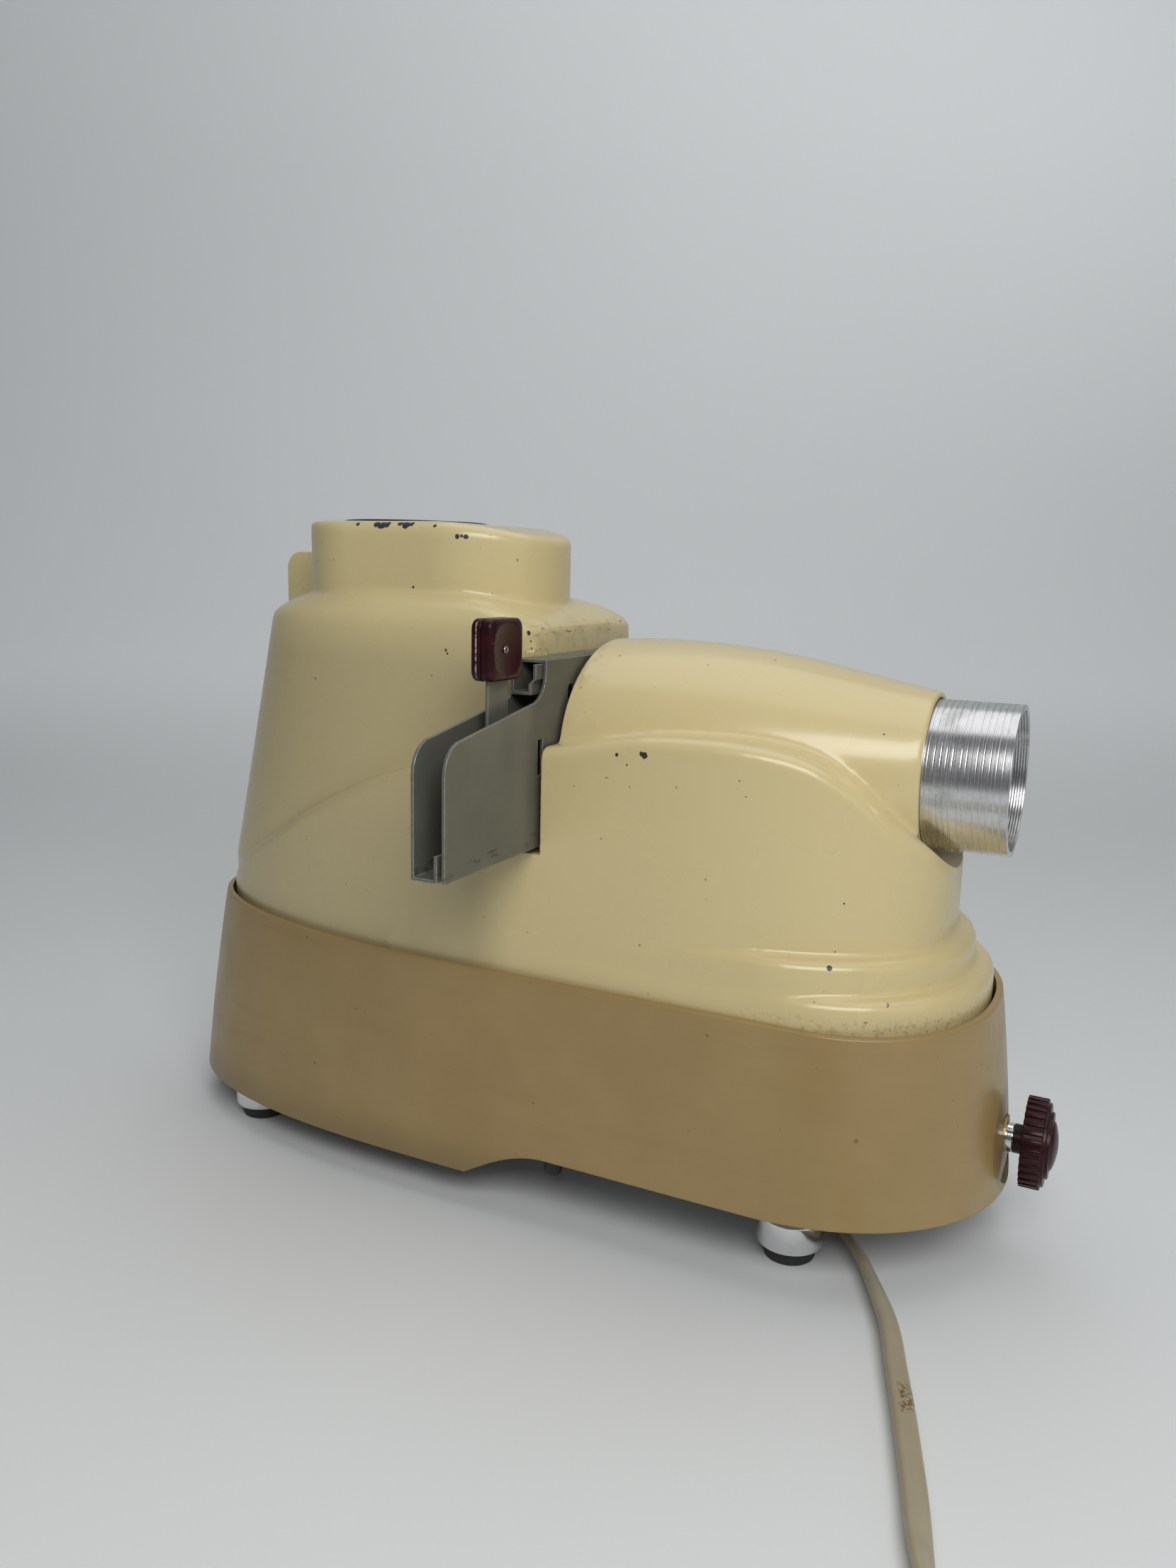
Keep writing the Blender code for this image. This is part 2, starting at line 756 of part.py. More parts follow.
def tower_body(name, inset):
    """Tapering lamphouse with a rounded crown and a flat front at the slot."""
    front = slot_rear + overrun * (0.0 if inset else 0.5) - inset

    def ring(level, rear, rear_run, half, draw):
        outline = boat_outline(-rear + inset, rear_run - inset, tower_rear_power_share, front - draw,
                               tower_front_corner - inset + draw * 0.3, tower_front_power_share, half - inset,
                               ring_steps + 1)
        return [(x, y, level - inset) for x, y in outline]
    rings = [ring(level - inset, tower_foot_rear, tower_foot_rear_run, tower_foot_half_width, 0.0)
             for level in (tower_root_height, tower_foot_height)]
    for share in (0.35, 0.70, 1.0):
        rings.append(ring(blend(tower_foot_height, tower_shoulder_height, share),
                          blend(tower_foot_rear, tower_shoulder_rear, share),
                          blend(tower_foot_rear_run, tower_shoulder_rear_run, share),
                          blend(tower_foot_half_width, tower_shoulder_half_width, share), 0.0))
    for rise, side_share, front_share, rear_share in tower_crown_shares:
        rear_draw = tower_crown_rear_draw * rear_share
        rings.append(ring(blend(tower_shoulder_height, tower_crown_height, rise),
                          tower_shoulder_rear - rear_draw,
                          tower_shoulder_rear_run - rear_draw * 0.8
                          - tower_crown_front_draw * front_share * 0.5,
                          tower_shoulder_half_width - tower_crown_side_draw * side_share,
                          tower_crown_front_draw * front_share))
    return lofted(name, rings, CREAM, root)


def nose_body(name, inset, front_stop):
    """Lens nose: rounded sections that shrink from the slot to the round mouth."""
    start = slot_front - overrun if inset == 0 else slot_front + inset
    length = -nose_front_back - (slot_front - overrun)
    rings = []
    for place, side, top in zip(nose_station_shares, nose_side_shares, nose_top_shares):
        x = slot_front - overrun + length * place
        half = blend(nose_mouth_radius, nose_rear_side, side) - inset
        rise = blend(nose_mouth_radius, nose_rear_top, top) - inset
        if inset:
            if x > front_stop:
                break
            x = max(x, start)
            if rings and x <= rings[-1][0][0]:
                continue
        ring = []
        for step in range(36):
            angle = math.tau * step / 36
            ring.append((x, half * math.cos(angle), axis_height + rise * math.sin(angle)))
        rings.append(ring)
    return lofted(name, rings, CREAM, root)


def collar_outline(inset):
    half = collar_half_width - inset
    return boat_outline(-collar_rear + inset, half, 2.0, -collar_front - inset, half, 2.0, half)


def collar_fall(x, start, fall):
    """Drop of a line that runs level from the rear and then curves down to the collar's front."""
    share = min(1.0, max(0.0, (x + start) / (start - collar_front)))
    return fall * share * share


def collar_body(name, wall):
    """Collar wall from the fillet at its foot to the rounded top edge."""
    rings = []
    if wall == 0:
        for spread, drop in collar_fillet_shares:
            level = tower_crown_height - collar_fillet_drop * drop
            rings.append([(x, y, level - collar_fall(x, collar_fall_start, collar_base_fall))
                          for x, y in collar_outline(-collar_fillet_spread * spread)])
    else:
        rings.append([(x, y, tower_shoulder_height) for x, y in collar_outline(wall)])
    rear_end = -collar_rear + wall
    for step in range(5):
        angle = math.radians(22.5 * step)
        ring = []
        for (x, y), (inner_x, inner_y) in zip(collar_outline(wall), collar_outline(wall + collar_edge_round)):
            share = (x - rear_end) / (-collar_front - wall - rear_end)
            edge = table_share(collar_round_shares, share)
            draw = edge * (1.0 - math.cos(angle))
            level = collar_top - wall - collar_fall(x, collar_fall_start, collar_front_fall)
            ring.append((blend(x, inner_x, draw), blend(y, inner_y, draw),
                         level - collar_edge_round * edge * (1.0 - math.sin(angle))))
        rings.append(ring)
    return lofted(name, rings, CREAM, root, (wall == 0, True))


def make_casting():
    body = arch_body("body_casting", 0.0)
    fuse(body, band("flange", cast_front, skirt_front_run, skirt_front_power_share, cast_half_width,
                    flange_top))
    fuse(body, band("tier", -tier_two_front, tier_two_run, tier_power_share, cast_half_width - seat_gap,
                    tier_top))
    fuse(body, tower_body("tower", 0.0))
    fuse(body, nose_body("nose", 0.0, 0.0))
    fuse(body, collar_body("collar", 0.0))
    hollow = arch_body("hollow", cast_wall)
    fuse(hollow, tower_body("hollow_tower", cast_wall))
    fuse(hollow, collar_body("hollow_collar", cast_wall))
    bore_start = -nose_front_back - nose_bore_length
    fuse(hollow, nose_body("hollow_nose", cast_wall, bore_start))
    wide = cast_half_width + overrun
    high = axis_height + changer_high_above_axis * 3.0
    keep = block("keep", (slot_rear - cast_wall, -wide, slot_floor - cast_wall),
                 (slot_front + cast_wall, wide, high), None, root)
    cut(hollow, keep)
    front_keep = block("front_keep", (-wall_front - cast_wall * 2, -wide, cast_floor - overrun * 2),
                       (0, wide, high), None, root)
    cut(hollow, front_keep)
    bore_keep = turned("bore_keep", (
        (bore_start, 0), (bore_start, scoop_radius + cast_wall), (0, scoop_radius + cast_wall), (0, 0)),
        32, "X", (0, 0, axis_height), None, root)
    bpy.context.view_layer.update()
    cut(hollow, bore_keep)
    cut(body, hollow)
    seat_height = axis_height - changer_bottom_below_axis - seat_gap
    cut(body, block("slot", (slot_rear, -wide, seat_height), (slot_front, wide, high), None, root))
    for side in (-1.0, 1.0):
        near, far = sorted((side * slot_seat_half_width, side * wide))
        end = block("slot_end", (slot_rear, near, slot_floor), (slot_front, far, seat_height + overrun),
                    None, root)
        cut(body, end)
    axis_point = (0, 0, axis_height)
    lip_start = -nose_front_back - nose_lip_length
    bore_end = -barrel_length - lens_travel_in - overrun
    mouth = turned("mouth", (
        (bore_end, 0), (bore_end, nose_bore_radius), (lip_start, nose_bore_radius),
        (lip_start, nose_lip_radius), (-nose_front_back - seat_gap, nose_lip_radius),
        (-nose_front_back - seat_gap, scoop_radius), (nose_front_back, scoop_radius), (nose_front_back, 0)),
        36, "X", axis_point, None, root)
    bpy.context.view_layer.update()
    cut(body, mouth)
    drill(body, "X", axis_point, condenser_radius, slot_rear - cast_wall - overrun,
          slot_width + cast_wall * 2 + overrun * 2, 32)
    drill(body, "Z", (-chimney_back, 0, 0), vent_throat_radius, collar_top - cast_wall * 2,
          cast_wall * 2 + overrun, 32)
    seat = vent_disc_radius + seat_gap
    drill(body, "Z", (-chimney_back, 0, 0), seat,
          collar_top - vent_disc_thickness + vent_disc_proud - seat_gap,
          vent_disc_thickness + overrun, 36)
    smooth(body, 28.0)
    return body


make_casting()

# lens barrel and its glass


def make_lens():
    centre = (0, 0, axis_height)
    inner = barrel_radius - barrel_wall
    outer = [(-barrel_length, inner), (-barrel_length, barrel_radius)]
    grooves = []
    for start in barrel_group_starts:
        for index in range(barrel_groove_count):
            grooves.append(-start - index * barrel_groove_pitch)
    half = barrel_groove_pitch * barrel_groove_share * 0.5
    for place in sorted(grooves):
        outer.append((place - half, barrel_radius))
        outer.append((place, barrel_radius - barrel_groove_depth))
        outer.append((place + half, barrel_radius))
    outer.append((0.0, barrel_radius))
    for index in range(barrel_thread_count):
        outer.append((-index * barrel_thread_pitch, inner))
        outer.append((-(index + 0.5) * barrel_thread_pitch, inner + barrel_thread_depth))
    outer.append((-barrel_thread_count * barrel_thread_pitch, inner))
    turned("lens_barrel", outer, 30, "X", centre, ALUMINIUM, root)
    fit = inner - seat_gap
    for name, back, face in (("lens_front_glass", glass_front_back, 1.0),
                             ("lens_rear_glass", glass_rear_back, -1.0)):
        profile = [(-glass_thickness - glass_bulge * 0.3, 0)]
        for share in (0.5, 1.0):
            profile.append((-glass_thickness - glass_bulge * 0.3 * (1.0 - share ** 2), fit * share))
        for share in (1.0, 0.75, 0.4):
            profile.append((glass_bulge * (1.0 - share ** 2), fit * share))
        profile.append((glass_bulge, 0))
        profile = [(along * face, radius) for along, radius in profile]
        turned(name, profile, 24, "X", (-back, 0, axis_height), GLASS, root)
    for name, back, side in (("lens_front_retainer", glass_front_back, 1.0),
                             ("lens_rear_retainer", glass_rear_back, -1.0)):
        near = seat_gap * side
        far = (seat_gap + retainer_length) * side
        ring = ((near, fit - retainer_wall * 0.25), (near, fit), (far, fit), (far, fit - retainer_wall))
        turned(name, ring, 28, "X", (-back, 0, axis_height), BLACK, root)
    start = -nose_front_back - nose_lip_length - seat_gap - bush_length
    turned("nose_bush", (
        (start, barrel_radius + seat_gap), (start, nose_bore_radius - seat_gap),
        (start + bush_length, nose_bore_radius - seat_gap), (start + bush_length, barrel_radius + seat_gap)),
        30, "X", centre, FELT, root)


make_lens()

# slide changer: two folded sheets, a top guide and the gate openings

changer_front = -gate_back + changer_outer_width * 0.5
changer_rear = -gate_back - changer_outer_width * 0.5
changer_bottom = axis_height - changer_bottom_below_axis
changer_low = axis_height + changer_low_above_axis
changer_ramp = axis_height + changer_ramp_above_axis
changer_high = axis_height + changer_high_above_axis


def changer_outline(bottom, top):
    """Side outline of a changer plate in (Y, Z): rounded ends, a ramp, and a steep rise to the middle."""
    low_centre = changer_low - changer_corner_radius
    steps = 6
    half = []
    for step in range(steps + 1):
        angle = 0.5 * math.pi * step / steps
        half.append((-changer_corner_radius * (1.0 - math.cos(angle)),
                     low_centre + changer_corner_radius * math.sin(angle)))
    rise = []
    for step in range(steps + 1):
        angle = 0.5 * math.pi * step / steps
        rise.append((blend(changer_rise_start, changer_rise_end, math.sin(angle)),
                     changer_ramp + changer_rise_height * (1.0 - math.cos(angle))))
    rise.append((changer_rise_end, top))
    points = [(changer_far_end, bottom)]
    points += [(changer_far_end + inset, height) for inset, height in half] + rise
    near = [(-changer_near_end - inset, height) for inset, height in half] + [(-y, z) for y, z in rise]
    points += list(reversed(near))
    points.append((-changer_near_end, bottom))
    return points


def make_changer():
    plate = extruded("changer_front_plate", changer_outline(changer_bottom, changer_high), "X",
                     changer_front - sheet, sheet, GREY, root)
    web = block("web", (changer_rear, -changer_rise_end, changer_high - sheet),
                (changer_front - sheet * 0.5, changer_rise_end, changer_high), None, root)
    bpy.context.view_layer.update()
    fuse(plate, web)
    opening = rounded_outline(-gate_cut_half_width, axis_height - gate_cut_half_height,
                              gate_cut_half_width, axis_height + gate_cut_half_height, gate_cut_round, 5)
    cut(plate, extruded("opening", opening, "X", changer_front - sheet - overrun, sheet + overrun * 2,
                        None, root))
    notch_middle = axis_height + cheek_notch_above_axis
    notch = block("notch", (changer_front - sheet - overrun, -cheek_notch_reach,
                            notch_middle - cheek_notch_height * 0.5),
                  (changer_front + overrun, -cheek_notch_reach + cheek_notch_width,
                   notch_middle + cheek_notch_height * 0.5), None, root)
    bpy.context.view_layer.update()
    cut(plate, notch)
    slot = block("web_slot", (-gate_back, -web_slot_start, changer_high - sheet - overrun),
                 (-gate_back + web_slot_width, -web_slot_start + web_slot_length, changer_high + overrun),
                 None, root)
    bpy.context.view_layer.update()
    cut(plate, slot)

    lip_front = changer_front - sheet - changer_lip_lane
    web_low = changer_high - sheet - seat_gap
    back = extruded("changer_back_plate", changer_outline(changer_bottom, web_low), "X", changer_rear,
                    sheet, GREY, root)
    tray = block("tray", (changer_rear + sheet * 0.5, -changer_near_end, changer_bottom),
                 (lip_front, changer_far_end, changer_bottom + sheet), None, root)
    fuse(back, tray)
    lip = block("lip", (lip_front - sheet, -changer_near_end, changer_bottom + sheet * 0.5),
                (lip_front, changer_far_end, changer_bottom + changer_lip_height), None, root)
    bpy.context.view_layer.update()
    fuse(back, lip)
    window = rounded_outline(-back_cut_half_width, axis_height - back_cut_half_width,
                             back_cut_half_width, axis_height + back_cut_half_width, gate_cut_round * 0.5, 3)
    cut(back, extruded("window", window, "X", changer_rear - overrun, sheet + overrun * 2, None, root))

    rear = changer_rear + sheet + seat_gap
    front = changer_front - sheet - seat_gap
    low = web_low - guide_height
    knee = low + guide_height * 0.35
    section = (
        (rear, web_low), (rear, low), (front - guide_step, low), (front - guide_step, knee),
        (front, knee + guide_step), (front, web_low), (front - sheet, web_low),
        (front - sheet, knee + guide_step),
        (front - guide_step - sheet, knee), (front - guide_step - sheet, low + sheet),
        (rear + sheet, low + sheet), (rear + sheet, web_low),
    )
    extruded("changer_top_guide", section, "Y", -guide_half_length, guide_half_length * 2, GREY, root)


make_changer()

# slide pusher with its two-part knob

tray_top = changer_bottom + sheet
pusher_slide = bpy.data.objects.new("pusher_slide", None)
bpy.context.scene.collection.objects.link(pusher_slide)
pusher_slide.parent = root
pusher_slide.location = (-gate_back, -pusher_reach, tray_top)


def make_pusher():
    knob_low = axis_height + pusher_knob_bottom_above_axis - tray_top
    half_arm = pusher_arm_width * 0.5
    low = seat_gap
    top = knob_low + pusher_knob_height * pusher_knob_arm_share
    outline = (
        (-half_arm, low), (half_arm + pusher_foot_length, low),
        (half_arm + pusher_foot_length, pusher_foot_height),
        (half_arm + pusher_arm_width * 0.3, pusher_foot_height),
        (half_arm, pusher_foot_height + pusher_arm_width * 0.3),
        (half_arm, top), (-half_arm, top),
    )
    extruded("pusher_arm", outline, "X", -sheet * 0.5, sheet, GREY, pusher_slide)
    clear = sheet * 0.5 + seat_gap
    half_width = pusher_knob_width * 0.5
    for name, sign in (("pusher_knob_front", 1.0), ("pusher_knob_rear", -1.0)):
        near = sign * seat_gap * 0.5
        far = sign * pusher_knob_depth * 0.5
        rings = []
        for place, inset_share in ((0.0, 0.15), (0.08, 0.0), (0.62, 0.0), (0.84, 0.10), (0.95, 0.28),
                                   (1.0, 0.5)):
            inset = pusher_knob_round * inset_share
            outline = rounded_outline(-half_width + inset, knob_low + inset, half_width - inset,
                                      knob_low + pusher_knob_height - inset,
                                      pusher_knob_round - inset * 0.4, 4)
            rings.append([(blend(near, far, place), y, z) for y, z in outline])
        half = lofted(name, rings, MAROON, pusher_slide)
        pocket = block("pocket", (-clear, -half_arm - seat_gap, knob_low - overrun),
                       (clear, half_arm + seat_gap, top + seat_gap), None, pusher_slide)
        bpy.context.view_layer.update()
        cut(half, pocket)
        smooth(half, 40.0)
        if sign > 0:
            middle = knob_low + pusher_knob_height * 0.5
            rim = far - pusher_dimple_depth
            dish = turned("dish", (
                (rim, 0), (rim, pusher_dimple_radius * 0.45),
                (rim + pusher_dimple_depth * 0.35, pusher_dimple_radius * 0.8),
                (far, pusher_dimple_radius), (far + overrun, pusher_dimple_radius), (far + overrun, 0)),
                32, "X", (0, 0, middle), None, pusher_slide)
            bpy.context.view_layer.update()
            cut(half, dish)
            smooth(half, 40.0)
            base = rim + seat_gap
            turned("pusher_rivet", (
                (base, 0), (base, pusher_rivet_radius), (base + pusher_rivet_head * 0.6, pusher_rivet_radius),
                (base + pusher_rivet_head, pusher_rivet_radius * 0.5), (base + pusher_rivet_head * 0.7, 0)),
                12, "X", (0, 0, middle), BRASS, pusher_slide)


make_pusher()

# base plate, deck and posts

plate_top = plate_height + plate_thickness
deck_top = cast_floor - seat_gap
deck_bottom = deck_top - deck_thickness
lamp_x = -gate_back - lamp_back_of_gate


def skirt_share(height):
    return (skirt_rim_height - height) / (skirt_rim_height - skirt_rear_clear)


def make_plates():
    share = skirt_share(plate_top)
    outline = [(x, y) for x, y, z in skirt_ring(share, skirt_wall + seat_gap)]
    plate = extruded("bottom_plate", outline, "Z", plate_height, plate_thickness, STEEL, root)
    boss_clear = spot_face_radius + seat_gap * 2
    drill(plate, "X", (0, 0, knob_axis_height), boss_clear, -spot_boss_length - spot_face_back - seat_gap * 2,
          spot_boss_length * 4, 24)
    for index in range(intake_slot_count):
        x = lamp_x + motor_radius * 1.35 + index * intake_slot_pitch
        slot = block("slot", (x, -intake_slot_length * 0.5, plate_height - overrun),
                     (x + intake_slot_width, intake_slot_length * 0.5, plate_top + overrun), None, root)
        bpy.context.view_layer.update()
        cut(plate, slot)
    drill(plate, "Z", (-switch_back, -switch_side, 0), switch_neck_radius + seat_gap, plate_height - overrun,
          plate_thickness + overrun * 2, 16)
    riser = block("riser_slot", (
        -front_foot_back - leg_block_width * 0.5 - seat_gap * 2, leg_rack_side - seat_gap * 2,
        plate_height - overrun), (
        -front_foot_back + leg_block_width * 0.5 + seat_gap * 2,
        leg_rack_side + leg_rack_depth + seat_gap * 2,
        plate_top + overrun), None, root)
    bpy.context.view_layer.update()
    cut(plate, riser)

    inset = skirt_wall * 0.2
    outline = boat_outline(cast_rear + inset, skirt_rear_run - inset, skirt_rear_power_share,
                           cast_front - inset,
                           skirt_front_run - inset, skirt_front_power_share, cast_half_width - inset)
    deck = extruded("lamp_deck", outline, "Z", deck_bottom, deck_thickness, STEEL, root)
    for index in range(6):
        angle = math.tau * (index + 0.5) / 6
        ring = fan_radius * 0.84
        drill(deck, "Z", (lamp_x + ring * math.cos(angle), ring * math.sin(angle), 0), fan_radius * 0.24,
              deck_bottom - overrun, deck_thickness + overrun * 2, 14)
    for name, back, side in (
            ("deck_post_rear_near", rear_foot_back * 0.985, -rear_foot_side * 0.35),
            ("deck_post_rear_far", rear_foot_back * 0.985, rear_foot_side * 0.35),
            ("deck_post_front_near", front_foot_back * 1.55, -front_foot_side * 1.2),
            ("deck_post_front_far", front_foot_back * 1.55, front_foot_side * 1.2)):
        radius = leg_rack_depth * 0.8
        turned(name, (
            (plate_top + seat_gap, 0), (plate_top + seat_gap, radius),
            (deck_bottom - seat_gap, radius), (deck_bottom - seat_gap, 0)), 12, "Z", (-back, side, 0),
            STEEL, root)


make_plates()

# condenser, lamp and reflector


def make_optics():
    holder_front = slot_rear - cast_wall - seat_gap * 4
    holder_rear = holder_front - condenser_pillar_depth
    bore = condenser_radius + seat_gap
    outer = bore + cast_wall
    holder = turned("condenser_holder", (
        (holder_rear, bore), (holder_rear, outer), (holder_front, outer), (holder_front, bore)),
        32, "X", (0, 0, axis_height), BLACK, root)
    pillar = block("pillar", (holder_rear + cast_wall, -condenser_radius * 0.6, deck_top + seat_gap),
                   (holder_front - cast_wall, condenser_radius * 0.6,
                    axis_height - bore - cast_wall * 0.3), None, root)
    bpy.context.view_layer.update()
    fuse(holder, pillar)
    flange = block("pillar_foot", (holder_rear, -condenser_radius, deck_top + seat_gap),
                   (holder_front, condenser_radius, deck_top + seat_gap + cast_wall), None, root)
    bpy.context.view_layer.update()
    fuse(holder, flange)
    rise = condenser_thickness - condenser_edge
    front_flat = holder_front - overrun

    def condenser(name, flat, sign):
        profile = [(0, 0), (0, condenser_radius), (-sign * condenser_edge, condenser_radius)]
        for share in (0.8, 0.5, 0.25):
            profile.append((-sign * (condenser_edge + rise * (1.0 - share ** 2)), condenser_radius * share))
        profile.append((-sign * condenser_thickness, 0))
        turned(name, profile, 24, "X", (flat, 0, axis_height), GLASS, root)

    condenser("condenser_front_lens", front_flat, 1.0)
    glass_front = front_flat - condenser_thickness - condenser_edge
    turned("heat_glass", (
        (glass_front - heat_glass_thickness, 0), (glass_front - heat_glass_thickness, condenser_radius),
        (glass_front, condenser_radius), (glass_front, 0)), 24, "X", (0, 0, axis_height), GLASS, root)
    rear_lens_face = glass_front - heat_glass_thickness - condenser_edge - condenser_thickness
    condenser("condenser_rear_lens", rear_lens_face, -1.0)

    foot = deck_top + seat_gap
    cup = foot + socket_height
    turned("lamp_socket", (
        (foot, 0), (foot, socket_radius), (foot + cast_wall, socket_radius),
        (foot + cast_wall, socket_radius * 0.88),
        (cup, socket_radius * 0.88), (cup, lamp_base_radius + seat_gap),
        (foot + cast_wall, lamp_base_radius + seat_gap),
        (foot + cast_wall, 0)), 24, "Z", (lamp_x, 0, 0), BLACK, root)
    base = foot + cast_wall + seat_gap
    neck = base + lamp_base_height + socket_height * 0.3
    profile = [(base, 0), (base, lamp_base_radius), (neck, lamp_base_radius)]
    for share, width in ((0.10, 1.0), (0.80, 1.0), (0.93, 0.78), (0.985, 0.42)):
        profile.append((neck + lamp_height * share, lamp_radius * width))
    profile.append((neck + lamp_height, 0))
    turned("lamp", profile, 20, "Z", (lamp_x, 0, 0), GLASS, root)

    mirror_x = lamp_x - lamp_radius - reflector_gap
    bowl = []
    for share in (0.0, 0.5, 1.0):
        bowl.append((reflector_depth * share ** 2 - reflector_wall, reflector_radius * share))
    for share in (1.0, 0.5, 0.0):
        bowl.append((reflector_depth * share ** 2, reflector_radius * share))
    turned("lamp_reflector", bowl, 24, "X", (mirror_x, 0, axis_height), ALUMINIUM, root)
    back = mirror_x - reflector_wall - seat_gap
    post = block("reflector_post", (back - cast_wall * 0.6, -reflector_post_width * 0.5, foot),
                 (back, reflector_post_width * 0.5, axis_height + reflector_radius * 0.25), STEEL, root)
    tab = block("tab", (back - cast_wall * 0.6 - reflector_post_width, -reflector_post_width, foot),
                (back, reflector_post_width, foot + sheet * 1.5), None, root)
    bpy.context.view_layer.update()
    fuse(post, tab)


make_optics()

# cooling fan and its motor


def make_fan():
    shaft_top = deck_bottom - overrun * 2
    low = shaft_top - fan_height - overrun
    motor_top = low - fan_motor_clear
    motor_height = motor_top - plate_top - seat_gap
    turned("fan_motor", (
        (plate_top + seat_gap, 0), (plate_top + seat_gap, motor_radius),
        (plate_top + motor_height * 0.25, motor_radius),
        (plate_top + motor_height * 0.35, motor_radius * 0.86),
        (plate_top + motor_height * 0.75, motor_radius * 0.86),
        (plate_top + motor_height * 0.85, motor_radius * 0.6), (motor_top, motor_radius * 0.5),
        (motor_top, 0)), 24, "Z", (lamp_x, 0, 0), STEEL, root)
    spin = bpy.data.objects.new("fan_spin", None)
    bpy.context.scene.collection.objects.link(spin)
    spin.parent = root
    spin.location = (lamp_x, 0, low)
    foot = motor_top + seat_gap - low
    turned("fan_shaft", (
        (foot, 0), (foot, motor_shaft_radius), (shaft_top - low, motor_shaft_radius), (shaft_top - low, 0)),
        14, "Z", (0, 0, 0), STEEL, spin)
    hub = turned("fan_wheel", (
        (0, motor_shaft_radius + seat_gap), (0, fan_hub_radius), (fan_height, fan_hub_radius),
        (fan_height, motor_shaft_radius + seat_gap)), 18, "Z", (0, 0, 0), ALUMINIUM, spin)
    for index in range(fan_blade_count):
        angle = math.tau * index / fan_blade_count
        lean = fan_height * fan_blade_lean_share
        start = fan_hub_radius * 0.8
        rings = []
        for reach, width in ((start, 0.7), (fan_radius * 0.6, 1.15), (fan_radius, 1.0)):
            half = lean * 0.5 * width
            ring = []
            for side, level, thick in ((-1, 0.2, 0.0), (1, 0.8, 0.0), (1, 0.8, 1.0), (-1, 0.2, 1.0)):
                across = side * half
                ring.append((reach, across, fan_height * level + fan_blade_thickness * (thick - 0.5)))
            rings.append([Matrix.Rotation(angle, 3, "Z") @ Vector(point) for point in ring])
        blade = lofted("blade", rings, None, spin)
        bpy.context.view_layer.update()
        fuse(hub, blade)


make_fan()

# feet, elevating leg bar, rack and knob


def make_foot(name, x, y, top, parent):
    base = pad_height + seat_gap
    turned("foot_" + name, (
        (base, 0), (base, foot_radius * 0.88), (base + foot_shoulder * 0.7, foot_radius),
        (foot_cup_height - foot_shoulder, foot_radius),
        (foot_cup_height - foot_shoulder * 0.3, foot_radius * 0.93),
        (foot_cup_height, foot_radius * 0.8), (foot_cup_height, foot_neck_radius), (top, foot_neck_radius),
        (top, 0)), 22, "Z", (x, y, 0), CHROME, parent)
    turned("pad_" + name, (
        (0, 0), (0, pad_radius * 0.94), (pad_height * 0.3, pad_radius), (pad_height, pad_radius),
        (pad_height, 0)),
        18, "Z", (x, y, 0), RUBBER, parent)


